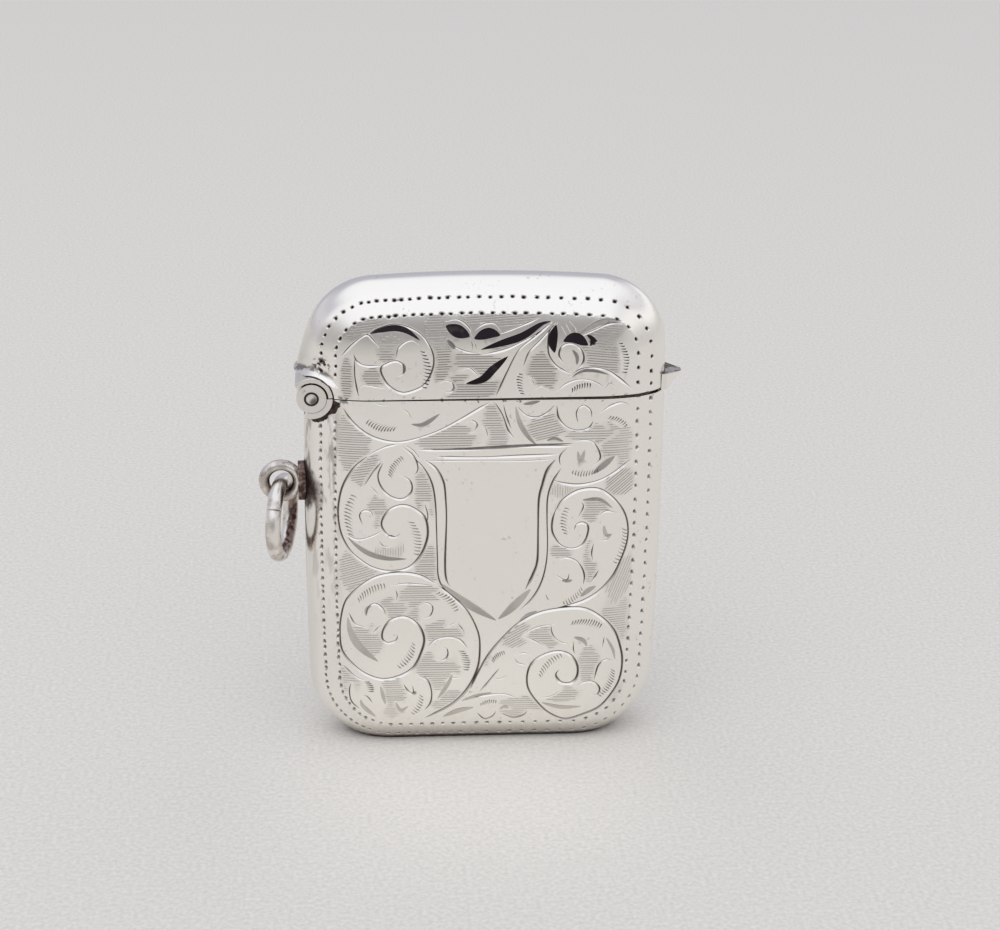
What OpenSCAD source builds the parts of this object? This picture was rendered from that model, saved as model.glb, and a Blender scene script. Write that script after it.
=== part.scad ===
// Pocket vesta case: two pressed halves cut into a body and a hinged lid, with a chain ring at the side.
// Millimetres. X runs along the width, Y from front to back and Z up, with the origin on the flat base.

/* [Case] */
// Width across the bowed sides
case_w = 33; // [28:0.5:40]
// Height from the flat base to the top of the lid
case_h = 45.8; // [42:0.2:56]
// Thickness from the front face to the back face
case_t = 7.5; // [7:0.1:10]
// Thickness of the sheet silver
wall = 0.5; // [0.4:0.05:0.8]
// How far each side bows out over the height
side_bow = 0.48; // [0.2:0.02:1.2]
// How far the top edge bows up over the width
top_bow = 0.93; // [0.3:0.03:1.5]
// Radius of the two top corners, seen from the front
top_corner_r = 6.4; // [6.4:0.1:9]
// Radius of the two bottom corners, seen from the front
base_corner_r = 8; // [6.4:0.1:9]
// Radius of the rolled rim round the sides
edge_r = 3; // [2.6:0.05:3.3]
// How far in from the side the face has come flat
edge_depth = 6.2; // [4.5:0.1:6.3]

/* [Base] */
// Width of the flat strip that the case stands on
base_flat_w = 4.4; // [3.8:0.1:5]
// Thickness of the base
base_wall = 0.8; // [0.7:0.05:1.2]
// Length of the striker strip let into the base
striker_l = 18; // [10:0.5:18]
// Width of the striker strip
striker_w = 2.8; // [2:0.1:3]
// Thickness of the striker strip from its seat to the crests of its ribs
striker_t = 0.4; // [0.3:0.05:0.5]
// Distance between the striker's ribs
rib_pitch = 0.75; // [0.5:0.05:1.2]
// Height of the striker's ribs
rib_h = 0.2; // [0.1:0.02:0.25]
// How far the crests of the ribs stay above the base plane
striker_shy = 0.05; // [0.02:0.01:0.1]

/* [Lid] */
// Height of the mouth, where the lid parts from the body
split_z = 35; // [31:0.2:36]
// Hairline between the lid's rim and the body's rim
lid_gap = 0.08; // [0.04:0.02:0.2]

/* [Bezel] */
// Thickness of the collar inside the mouth
bezel_t = 0.35; // [0.25:0.05:0.5]
// How far the collar reaches down into the body
bezel_depth = 3; // [2:0.2:6]
// How far the collar stands up into the lid
bezel_rise = 1.2; // [0.8:0.1:1.8]
// Clearance between the collar and the walls round it
bezel_fit = 0.1; // [0.06:0.02:0.2]
// Room left between the collar's ends and the hinge
bezel_stop = 0.6; // [0.4:0.1:2]

/* [Hinge] */
// How far the pin's axis lies in from the side
hinge_inset = 0.7; // [0.4:0.05:1]
// Length of the hinge from front to back
hinge_len = 6.2; // [5.4:0.1:7]
// Diameter of the pin
pin_d = 1.06; // [1:0.02:1.4]
// Diameter of the knuckles
knuckle_d = 2.7; // [2.4:0.05:3]
// Length of the lid's knuckle in the middle
mid_knuckle_l = 2.2; // [1.6:0.1:3]
// Gap between neighbouring knuckles
knuckle_gap = 0.06; // [0.04:0.01:0.12]
// Running clearance round a knuckle in the other half's bearer
knuckle_play = 0.15; // [0.1:0.01:0.2]
// Running clearance between the pin and the lid's knuckle
pin_fit = 0.03; // [0.02:0.005:0.06]
// Thickness of the gutter-shaped bearers round the knuckles
bearer_t = 0.42; // [0.3:0.02:0.6]
// Angle that the lid's bearer wraps over the knuckles
lid_bearer_deg = 140; // [110:1:142]
// Angle that the body's bearer wraps under the knuckles
body_bearer_deg = 108; // [90:1:110]

/* [Thumbpiece] */
// How far the thumbpiece stands out from the side
thumb_out = 1.5; // [1:0.1:2]
// Height of its tip above the lid's rim
thumb_tip_h = 1.35; // [0.8:0.05:1.8]
// How much its top falls from the lid to the tip
thumb_fall = 0.15; // [0.05:0.05:0.8]
// Width of the thumbpiece where it meets the lid
thumb_w = 3.4; // [2.4:0.1:4.2]
// Width of the thumbpiece at its tip
thumb_tip_w = 0.7; // [0.5:0.1:2.4]

/* [Ring] */
// Outside diameter of the fixed eye
eye_od = 4.1; // [3.9:0.1:5]
// Wire of the fixed eye
eye_wire = 1; // [0.8:0.05:1.1]
// Height of the eye's centre above the base
eye_z = 25.9; // [20:0.1:27]
// Space between the eye's outside and the case, bridged by its foot
eye_standoff = 0.07; // [0.05:0.01:0.5]
// Width of the eye's foot from front to back
eye_foot_w = 1.9; // [1.2:0.1:2.2]
// Height of the eye's foot, which has round ends
eye_foot_h = 3.8; // [2.4:0.1:4]
// Diameter of the jump ring at the middle of its wire
ring_d = 6.9; // [6:0.1:9]
// Wire of the jump ring
ring_wire = 1.4; // [1:0.05:1.5]
// Clearance under the jump ring where it hangs in the eye
ring_play = 0.12; // [0.08:0.01:0.2]
// Angle that the ring hangs turned about the vertical
ring_yaw = 12.5; // [0:0.5:20]
// Hairline at the butted ends of the jump ring
ring_slit = 0.1; // [0.04:0.01:0.15]
// Where the butted ends lie, from the ring's top towards the front
ring_slit_deg = 57; // [20:1:160]

/* [Hidden] */
// Line of solder between two pieces that are fixed together
solder = 0.02;
// Facets of a full turn, and of the shell along its corners, sides, top and rolled edge
$fn = 96;
CORNER_STEPS = 9;
SIDE_STEPS = 8;
TOP_STEPS = 5;
EDGE_STEPS = 6;
FACE_STEPS = 4;
// Overshoot of a cut past the surface that it opens
over = 1;

// The edge in section: a small arc round the rim runs into a large arc that comes flat on the face
half_t = case_t / 2;
arc_step = (pow(edge_depth - edge_r, 2) + pow(half_t - edge_r, 2)) / (2 * (half_t - edge_r));
face_r = edge_r + arc_step;
face_drop = face_r - half_t;
// Where the two arcs meet, as an angle from the rim
lean_deg = asin(face_drop / arc_step);
// Size of a cutter that is wider than the edge
edge_reach = edge_depth + half_t;

// The outline seen from the front: bowed sides, a bowed top, round corners and a base cut flat
base_uncut = edge_r - sqrt(pow(edge_r, 2) - pow(base_flat_w / 2, 2));
foot_z = -base_uncut;
mid_z = (case_h + foot_z) / 2;
side_r = (pow(case_h - mid_z, 2) + pow(side_bow, 2)) / (2 * side_bow);
side_c = [case_w / 2 - side_r, mid_z];
top_r = (pow(case_w / 2, 2) + pow(top_bow, 2)) / (2 * top_bow);
top_c = [0, case_h - top_r];

// Upper crossing of two circles
function crossing(c0, r0, c1, r1) =
    let (along = (c1 - c0) / norm(c1 - c0))
    let (reach = (r0 * r0 - r1 * r1 + pow(norm(c1 - c0), 2)) / (2 * norm(c1 - c0)))
    c0 + reach * along + sqrt(r0 * r0 - reach * reach) * [-along.y, along.x];

// Direction from one point to another
function bearing(from, to) = atan2(to.y - from.y, to.x - from.x);

// Half width of the case at a height
function side_x(z) = side_c.x + sqrt(side_r * side_r - pow(z - side_c.y, 2));

top_corner = crossing(side_c, side_r - top_corner_r, top_c, top_r - top_corner_r);
base_corner_z = foot_z + base_corner_r;
base_corner_x = side_c.x + sqrt(pow(side_r - base_corner_r, 2) - pow(base_corner_z - mid_z, 2));
base_corner = [base_corner_x, base_corner_z];
side_low_deg = bearing(side_c, base_corner);
side_high_deg = bearing(side_c, top_corner);
top_deg = bearing(top_c, top_corner);

// The hinge
rim_z = split_z + lid_gap;
hinge_z = split_z + lid_gap / 2;
hinge_x = hinge_inset - side_x(split_z);
knuckle_r = knuckle_d / 2;
bearer_in = knuckle_r + solder;
bearer_out = knuckle_r + knuckle_play + bearer_t;
notch_r = bearer_out + solder;
end_knuckle_l = (hinge_len - mid_knuckle_l) / 2 - knuckle_gap;
mid_relief_l = mid_knuckle_l + 2 * knuckle_gap;
// Half of the hairline, as an angle at the bearer's outside
hairline_deg = asin(lid_gap / 2 / bearer_out);

// The eye and the ring that hangs in it
eye_mean_r = (eye_od - eye_wire) / 2;
eye_hole_r = eye_od / 2 - eye_wire;
eye_x = -side_x(eye_z) - eye_standoff - eye_od / 2;
ring_drop = eye_hole_r - ring_wire / 2 - ring_play;
ring_slit_turn = 2 * asin(ring_slit / ring_d);

// Point of the edge's section at an angle from the rim, set in by inset: in from the side, out to the face
function edge_point(angle, inset) =
    angle < lean_deg
    ? [edge_r - (edge_r - inset) * cos(angle), (edge_r - inset) * sin(angle)]
    : [edge_depth - (face_r - inset) * cos(angle), (face_r - inset) * sin(angle) - face_drop];

// Stations along an arc of the outline: a point and the direction inwards
function arc_stations(centre, radius, from_deg, to_deg, steps) = [
    for (i = [0 : steps])
        let (angle = from_deg + (to_deg - from_deg) * i / steps)
        let (out = [cos(angle), sin(angle)])
        [centre + radius * out, -out]
];

// A station on the side at a height, facing straight in so that the cut across the case is flat
function mouth_station(z) = [[side_x(z), z], [-1, 0]];

// A list without its first entry, and without its first and last
function rest(list) = [for (i = [1 : len(list) - 1]) list[i]];
function inner(list) = [for (i = [1 : len(list) - 2]) list[i]];

// The other half of the outline, run the other way
function mirrored(stations) = [
    for (i = [len(stations) - 1 : -1 : 0])
        [for (v = stations[i]) [-v.x, v.y]]
];

// Right half of the body's outline, from the base up to the mouth, and of the lid's, from the rim to the top
body_right = concat(
    arc_stations(base_corner, base_corner_r, -90, side_low_deg, CORNER_STEPS),
    inner(arc_stations(side_c, side_r, side_low_deg, asin((split_z - mid_z) / side_r), SIDE_STEPS)),
    [mouth_station(split_z)]
);
lid_right = concat(
    [mouth_station(rim_z)],
    arc_stations(top_corner, top_corner_r, side_high_deg, top_deg, CORNER_STEPS),
    rest(arc_stations(top_c, top_r, top_deg, 90, TOP_STEPS))
);
body_outline = concat(mirrored(body_right), body_right);
lid_outline = concat(lid_right, rest(mirrored(lid_right)));

// Front half of a pressed shell, lofted round an outline that is open at the mouth.
// The inside stays above floor_z, which leaves a thick flat base.
module front_shell(outline, floor_z) {
    angles = concat(
        [for (i = [0 : EDGE_STEPS - 1]) lean_deg * i / EDGE_STEPS],
        [for (i = [0 : FACE_STEPS]) lean_deg + (90 - lean_deg) * i / FACE_STEPS]
    );
    rings = len(angles) - 1;
    ends = len(outline) - 1;
    points = [
        for (inset = [0, wall], station = outline, angle = angles)
            let (edge = edge_point(angle, inset))
            let (place = station[0] + edge.x * station[1])
            [place.x, -edge.y, inset > 0 ? max(place.y, floor_z) : place.y]
    ];
    // Number of a point on the outside (0) or the inside (1), at a station and a ring
    function at(skin, station, ring) = (skin * (ends + 1) + station) * (rings + 1) + ring;
    function quad(a, b, c, d) = [[a, b, c], [a, c, d]];
    skins = [
        for (i = [0 : ends - 1], k = [0 : rings - 1])
            each concat(
                quad(at(0, i, k), at(0, i, k + 1), at(0, i + 1, k + 1), at(0, i + 1, k)),
                quad(at(1, i, k), at(1, i + 1, k), at(1, i + 1, k + 1), at(1, i, k + 1))
            )
    ];
    seam = [
        for (i = [0 : ends - 1])
            each quad(at(0, i, 0), at(0, i + 1, 0), at(1, i + 1, 0), at(1, i, 0))
    ];
    mouth = [
        for (k = [0 : rings - 1])
            each concat(
                quad(at(0, 0, k), at(1, 0, k), at(1, 0, k + 1), at(0, 0, k + 1)),
                quad(at(0, ends, k), at(0, ends, k + 1), at(1, ends, k + 1), at(1, ends, k))
            )
    ];
    lip = quad(at(0, 0, rings), at(1, 0, rings), at(1, ends, rings), at(0, ends, rings));
    faces = [
        [for (i = [ends : -1 : 0]) at(0, i, rings)],
        [for (i = [0 : ends]) at(1, i, rings)]
    ];
    polyhedron(points, concat(skins, seam, mouth, lip, faces));
}

// Room for the hinge, cut through both faces
module hinge_notch() {
    translate([hinge_x, 0, hinge_z])
        rotate([90, 0, 0])
            cylinder(r = notch_r, h = 2 * case_t, center = true);
}

// Pocket in the base that the striker strip is let into
module striker_pocket() {
    depth = striker_t + striker_shy;
    translate([-striker_l / 2, -striker_w / 2, -over]) cube([striker_l, striker_w, depth + over]);
}

module body_half() {
    difference() {
        front_shell(body_outline, base_wall);
        translate([-case_w, -case_t, -case_t]) cube([2 * case_w, 2 * case_t, case_t]);
        hinge_notch();
        striker_pocket();
    }
}

module lid_half() {
    difference() {
        front_shell(lid_outline, rim_z);
        hinge_notch();
    }
}

module body_front() {
    color("silver") body_half();
}

module body_back() {
    color("silver") mirror([0, 1, 0]) body_half();
}

module lid_front() {
    color("gainsboro") lid_half();
}

module lid_back() {
    color("gainsboro") mirror([0, 1, 0]) lid_half();
}

// Half of the edge's section, with x measured in from the side and y from the middle plane to the face
module edge_section(inset) {
    start = [edge_r, 0];
    lean = edge_reach * [-cos(lean_deg), sin(lean_deg)];
    intersection() {
        translate(start) circle(edge_r - inset);
        polygon([start, start + lean, [-edge_reach, edge_reach], [-edge_reach, 0]]);
    }
    intersection() {
        translate([edge_depth, -face_drop]) circle(face_r - inset);
        polygon([start, start + lean, [edge_depth, edge_reach], [edge_depth, 0]]);
    }
}

// Section of the case at the mouth, set in by inset, made of four quarters
module mouth_section(inset) {
    half_w = side_x(split_z + bezel_rise);
    for (side = [0, 1], face = [0, 1])
        mirror([side, 0]) mirror([0, face]) {
            translate([half_w, 0]) mirror([1, 0]) edge_section(inset);
            square([half_w - edge_depth, half_t - inset]);
        }
}

module mouth_bezel() {
    outside = wall + bezel_fit;
    start_x = hinge_x + bearer_out + bezel_stop;
    color("lightgray")
        translate([0, 0, split_z - bezel_depth])
            linear_extrude(bezel_depth + bezel_rise)
                intersection() {
                    difference() {
                        mouth_section(outside);
                        mouth_section(outside + bezel_t);
                    }
                    translate([start_x, -case_t]) square([case_w - start_x, 2 * case_t]);
                }
}

// Strip with sharp cross ribs, lying in the pocket with its crests just short of the base plane
module striker_strip() {
    length = striker_l - 2 * solder;
    ribs = floor(length / rib_pitch);
    margin = (length - ribs * rib_pitch) / 2;
    seat = striker_t + striker_shy - solder;
    root = striker_shy + rib_h;
    teeth = [
        for (i = [0 : ribs - 1], step = [0, 1])
            [margin + (i + step / 2) * rib_pitch, step == 0 ? root : striker_shy]
    ];
    color("dimgray")
        translate([-length / 2, striker_w / 2 - solder, 0])
            rotate([90, 0, 0])
                linear_extrude(striker_w - 2 * solder)
                    polygon(concat([[0, seat], [0, root]], teeth, [[length, root], [length, seat]]));
}

// Half-round gutter about the pin's axis.
// It is soldered to the middle knuckle or to the end ones, and clears the rest.
module bearer(from_deg, to_deg, fixed_in_middle) {
    clear = knuckle_r + knuckle_play;
    translate([hinge_x, 0, hinge_z])
        rotate([90, 0, 0])
            rotate(from_deg)
                rotate_extrude(angle = to_deg - from_deg)
                    difference() {
                        translate([bearer_in, -hinge_len / 2]) square([bearer_out - bearer_in, hinge_len]);
                        if (fixed_in_middle) {
                            for (end = [-1, 1])
                                translate([0, end * (mid_knuckle_l + hinge_len) / 2])
                                    square([2 * clear, hinge_len], center = true);
                        } else {
                            square([2 * clear, mid_relief_l], center = true);
                        }
                    }
}

module body_hinge_bearer() {
    color("silver") bearer(-body_bearer_deg, -hairline_deg, false);
}

module lid_hinge_bearer() {
    color("gainsboro") bearer(hairline_deg, lid_bearer_deg, true);
}

// One tube of the hinge, centred at a place along the pin
module knuckle(middle_y, length, bore_d) {
    translate([hinge_x, middle_y, hinge_z])
        rotate([90, 0, 0])
            difference() {
                cylinder(d = knuckle_d, h = length, center = true);
                cylinder(d = bore_d, h = length + 2 * over, center = true);
            }
}

module front_knuckle() {
    color("silver") knuckle((end_knuckle_l - hinge_len) / 2, end_knuckle_l, pin_d + solder);
}

module lid_knuckle() {
    color("gainsboro") knuckle(0, mid_knuckle_l, pin_d + 2 * pin_fit);
}

module rear_knuckle() {
    color("silver") knuckle((hinge_len - end_knuckle_l) / 2, end_knuckle_l, pin_d + solder);
}

module hinge_pin() {
    color("darkgray")
        translate([hinge_x, 0, hinge_z])
            rotate([90, 0, 0])
                cylinder(d = pin_d, h = hinge_len, center = true);
}

// Rounded rim of the right side, which what is soldered there is cut to fit
module rim_seat(side) {
    translate([side - edge_r, 0, 0]) cylinder(r = edge_r + solder, h = case_h);
}

// Keel-shaped tab: pointed seen from the front and narrowing outwards seen from above
module thumbpiece() {
    side = side_x(rim_z);
    root = side - edge_r;
    tip = side + thumb_out;
    top = rim_z + thumb_tip_h + thumb_fall;
    color("gainsboro")
        difference() {
            intersection() {
                rotate([90, 0, 0])
                    linear_extrude(thumb_w, center = true)
                        polygon([
                            [root, rim_z], [side, rim_z], [tip, rim_z + thumb_tip_h],
                            [side, top], [root, top]
                        ]);
                linear_extrude(case_h)
                    polygon([
                        [root, -thumb_w / 2], [side, -thumb_w / 2], [tip, -thumb_tip_w / 2],
                        [tip, thumb_tip_w / 2], [side, thumb_w / 2], [root, thumb_w / 2]
                    ]);
            }
            rim_seat(side);
        }
}

// Closed loop with a tall foot that follows the side of the case
module ring_eye() {
    foot_t = eye_wire + eye_standoff;
    straight = eye_foot_h - eye_foot_w;
    color("silver")
        difference() {
            translate([eye_x, 0, eye_z]) {
                rotate([90, 0, 0]) rotate_extrude() translate([eye_mean_r, 0]) circle(d = eye_wire);
                translate([eye_mean_r, -eye_foot_w / 2, -straight / 2]) cube([foot_t, eye_foot_w, straight]);
                for (way = [-1, 1])
                    translate([eye_mean_r, 0, way * straight / 2])
                        rotate([0, 90, 0]) cylinder(d = eye_foot_w, h = foot_t);
            }
            mirror([1, 0, 0]) rim_seat(side_x(eye_z));
        }
}

// Butted ring that hangs through the eye
module jump_ring() {
    color("silver")
        translate([eye_x, 0, eye_z - ring_drop - ring_d / 2])
            rotate([0, 0, -ring_yaw])
                rotate([90, 0, -90])
                    rotate(90 - ring_slit_deg + ring_slit_turn / 2)
                        rotate_extrude(angle = 360 - ring_slit_turn)
                            translate([ring_d / 2, 0]) circle(d = ring_wire);
}

body_front();
body_back();
lid_front();
lid_back();
mouth_bezel();
striker_strip();
body_hinge_bearer();
lid_hinge_bearer();
front_knuckle();
lid_knuckle();
rear_knuckle();
hinge_pin();
thumbpiece();
ring_eye();
jump_ring();
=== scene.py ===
# Silver vesta case with an engraved front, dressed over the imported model.
# The drawing sizes are in millimetres, seen from the front: x to the right, z up, y from front to back.
import math

import bpy
import numpy as np
from mathutils import Matrix, Vector
from mathutils.geometry import delaunay_2d_cdt


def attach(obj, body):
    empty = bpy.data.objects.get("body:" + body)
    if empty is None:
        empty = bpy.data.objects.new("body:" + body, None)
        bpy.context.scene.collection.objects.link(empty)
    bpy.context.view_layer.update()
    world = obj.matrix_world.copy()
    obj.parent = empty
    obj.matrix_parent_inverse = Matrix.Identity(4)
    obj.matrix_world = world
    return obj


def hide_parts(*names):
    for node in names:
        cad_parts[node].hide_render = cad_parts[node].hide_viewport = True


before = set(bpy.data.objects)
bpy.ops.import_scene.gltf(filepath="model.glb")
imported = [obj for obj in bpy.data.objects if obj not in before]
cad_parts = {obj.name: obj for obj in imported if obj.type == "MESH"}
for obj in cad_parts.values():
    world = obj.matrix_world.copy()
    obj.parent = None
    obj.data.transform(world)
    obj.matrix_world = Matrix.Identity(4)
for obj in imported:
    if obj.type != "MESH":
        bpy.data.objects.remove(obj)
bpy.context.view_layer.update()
MM = 0.001

# Camera
CAMERA_AZIMUTH = math.radians(-4.345)
CAMERA_ELEVATION = math.radians(22.85)
CAMERA_ROLL = math.radians(0.94)
CAMERA_DISTANCE = 208 * MM
CAMERA_TARGET = Vector((1.49, 0, 27.15)) * MM
FOCAL_PIXELS = 2259
IMAGE_WIDTH = 1000
SENSOR = 36
CLIP_START = 0.01


def put(name, data):
    """Add an object to the scene."""
    made = bpy.data.objects.new(name, data)
    bpy.context.scene.collection.objects.link(made)
    return made


def make_camera():
    back = Vector((
        math.sin(CAMERA_AZIMUTH) * math.cos(CAMERA_ELEVATION),
        -math.cos(CAMERA_AZIMUTH) * math.cos(CAMERA_ELEVATION),
        math.sin(CAMERA_ELEVATION),
    ))
    level = Vector((math.cos(CAMERA_AZIMUTH), math.sin(CAMERA_AZIMUTH), 0))
    upright = back.cross(level)
    right = level * math.cos(CAMERA_ROLL) + upright * math.sin(CAMERA_ROLL)
    up = back.cross(right)
    data = bpy.data.cameras.new("camera")
    data.sensor_width = SENSOR
    data.lens = FOCAL_PIXELS * SENSOR / IMAGE_WIDTH
    data.clip_start = CLIP_START
    place = Matrix((right, up, back)).transposed().to_4x4()
    place.translation = CAMERA_TARGET + back * CAMERA_DISTANCE
    camera = put("camera", data)
    camera.matrix_world = place
    bpy.context.scene.camera = camera


make_camera()

# The case, with the sizes of the solids
CASE_W, CASE_H, CASE_T = 33, 45.8, 7.5
WALL = 0.5
SIDE_BOW, TOP_BOW = 0.48, 0.93
TOP_CORNER_R, BASE_CORNER_R = 6.4, 8
EDGE_R, EDGE_DEPTH = 3, 6.2
BASE_FLAT_W, BASE_WALL = 4.4, 0.8
POCKET_L, POCKET_W, POCKET_DEPTH = 18, 2.8, 0.45
SPLIT_Z, LID_GAP = 35, 0.08
RIM_Z = SPLIT_Z + LID_GAP
MOUTH_LIFT, MOUTH_REACH = 0.22, 14
SWELL, SWELL_TOP, SWELL_RUN, SWELL_DEPTH = 0.7, 41, 4.2, 2.4
HINGE_INSET, NOTCH_R = 0.7, 1.94

# The edge in section: a small arc round the rim, then a large arc that comes flat on the face
HALF_T = CASE_T / 2
ARC_STEP = ((EDGE_DEPTH - EDGE_R) ** 2 + (HALF_T - EDGE_R) ** 2) / (2 * (HALF_T - EDGE_R))
FACE_R = EDGE_R + ARC_STEP
FACE_DROP = FACE_R - HALF_T
LEAN = math.asin(FACE_DROP / ARC_STEP)
LEAN_DEPTH = EDGE_R * (1 - math.cos(LEAN))
FACE_ARC = FACE_R * (math.pi / 2 - LEAN)
EDGE_ARC = EDGE_R * LEAN

# The outline: a straight base, bowed sides, a bowed top and round corners
FOOT_Z = math.sqrt(EDGE_R ** 2 - (BASE_FLAT_W / 2) ** 2) - EDGE_R
MID_Z = (CASE_H + FOOT_Z) / 2
SIDE_R = ((CASE_H - MID_Z) ** 2 + SIDE_BOW ** 2) / (2 * SIDE_BOW)
SIDE_C = np.array((CASE_W / 2 - SIDE_R, MID_Z))
TOP_R = ((CASE_W / 2) ** 2 + TOP_BOW ** 2) / (2 * TOP_BOW)
TOP_C = np.array((0, CASE_H - TOP_R))


def length_of(vectors):
    return np.hypot(vectors[..., 0], vectors[..., 1])


def unit(vectors):
    return vectors / np.maximum(np.linalg.norm(vectors, axis=-1, keepdims=True), 1e-12)


def left_of(way):
    """A way turned a quarter to the left."""
    return np.stack((-way[..., 1], way[..., 0]), -1)


def upper_crossing(c0, r0, c1, r1):
    gap = c1 - c0
    length = length_of(gap)
    along = gap / length
    reach = (r0 ** 2 - r1 ** 2 + length ** 2) / (2 * length)
    return c0 + reach * along + math.sqrt(r0 ** 2 - reach ** 2) * left_of(along)


def bearing(start, end):
    return math.atan2(end[1] - start[1], end[0] - start[0])


TOP_CORNER = upper_crossing(SIDE_C, SIDE_R - TOP_CORNER_R, TOP_C, TOP_R - TOP_CORNER_R)
BASE_CORNER_Z = FOOT_Z + BASE_CORNER_R
BASE_CORNER_X = SIDE_C[0] + math.sqrt((SIDE_R - BASE_CORNER_R) ** 2 - (BASE_CORNER_Z - MID_Z) ** 2)
BASE_CORNER = np.array((BASE_CORNER_X, BASE_CORNER_Z))
SIDE_LOW = bearing(SIDE_C, BASE_CORNER)
SIDE_HIGH = bearing(SIDE_C, TOP_CORNER)
TOP_TURN = bearing(TOP_C, TOP_CORNER)
CORNERS = (
    (BASE_CORNER, BASE_CORNER_R, -math.pi / 2, SIDE_LOW),
    (TOP_CORNER, TOP_CORNER_R, SIDE_HIGH, TOP_TURN),
)


def side_x(z):
    return SIDE_C[0] + np.sqrt(SIDE_R ** 2 - (z - SIDE_C[1]) ** 2)


HINGE = np.array((HINGE_INSET - side_x(SPLIT_Z), SPLIT_Z + LID_GAP / 2))


def from_side(points):
    """How far in from the outline each point lies, and which way is out."""
    sign = np.where(points[:, 0] < 0, -1.0, 1.0)
    q = np.stack((np.abs(points[:, 0]), points[:, 1]), 1)
    runs = []
    for centre, radius in ((SIDE_C, SIDE_R), (TOP_C, TOP_R)):
        arm = q - centre
        length = length_of(arm)
        runs.append((radius - length, arm / length[:, None]))
    runs.append((q[:, 1] - FOOT_Z, np.broadcast_to((0.0, -1.0), q.shape)))
    inset = np.full(len(q), np.inf)
    out = np.zeros_like(q)
    for depth, way in runs:
        near = depth < inset
        inset[near] = depth[near]
        out[near] = way[near]
    for centre, radius, low, high in CORNERS:
        arm = q - centre
        turn = np.arctan2(arm[:, 1], arm[:, 0])
        length = np.maximum(length_of(arm), 1e-9)
        inside = (turn > low) & (turn < high)
        inset[inside] = (radius - length)[inside]
        out[inside] = (arm / length[:, None])[inside]
    out[:, 0] *= sign
    return inset, out


def laid_flat(points):
    """Front-view points on the flat drawing, where the rolled edge is rolled out."""
    points = np.asarray(points, float).reshape(-1, 2)
    inset, out = from_side(points)
    inset = np.clip(inset, 0, EDGE_DEPTH)
    rim = np.arccos(1 - np.minimum(inset, LEAN_DEPTH) / EDGE_R)
    face = np.arccos(np.clip((EDGE_DEPTH - inset) / FACE_R, 0, 1))
    reach = np.where(inset < LEAN_DEPTH, FACE_ARC + (LEAN - rim) * EDGE_R, (math.pi / 2 - face) * FACE_R)
    return points + out * (reach - (EDGE_DEPTH - inset))[:, None]


def section_turn(reach):
    """Which way the rolled edge faces at a reach along its section."""
    return np.where(reach < FACE_ARC, math.pi / 2 - reach / FACE_R, LEAN - (reach - FACE_ARC) / EDGE_R)


def pressed(drawing, depth=0.0):
    """Points of the flat drawing on the pressed front, and which way the surface faces there.
    A depth puts them inside the sheet."""
    inset, out = from_side(drawing)
    reach = np.maximum(EDGE_DEPTH - inset, 0)
    turn = np.clip(section_turn(reach), 0, math.pi / 2)
    on_rim = turn < LEAN
    cos, sin = np.cos(turn), np.sin(turn)
    inwards = np.where(on_rim, EDGE_R - (EDGE_R - depth) * cos, EDGE_DEPTH - (FACE_R - depth) * cos)
    forwards = np.where(on_rim, (EDGE_R - depth) * sin, (FACE_R - depth) * sin - FACE_DROP)
    flat = drawing + out * ((EDGE_DEPTH - inwards) - reach)[:, None]
    places = np.stack((flat[:, 0], -forwards, flat[:, 1]), 1)
    facing = np.stack((cos * out[:, 0], -sin, cos * out[:, 1]), 1)
    return places, facing


# Engraving. A cut is an even groove, a leaf is a broad grey cut that swells in the middle,
# a dark leaf is one painted black, for its tarnish and for the dark reflection it shows, a ridge stands
# proud, ticks are a row of short cuts that bows to its right, and hatch is an oval patch of fine lines.
# Widths are half widths.
def stroke(kind):
    return lambda width, *path: (kind, width, path)


cut, leaf, dark_leaf, ridge = map(stroke, ("cut", "leaf", "dark_leaf", "ridge"))


def ticks(count, length, start, end):
    return ("ticks", count, length, start, end)


def hatch(slope, x, z, wide, high):
    return ("hatch", slope, x, z, wide, high)


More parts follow.
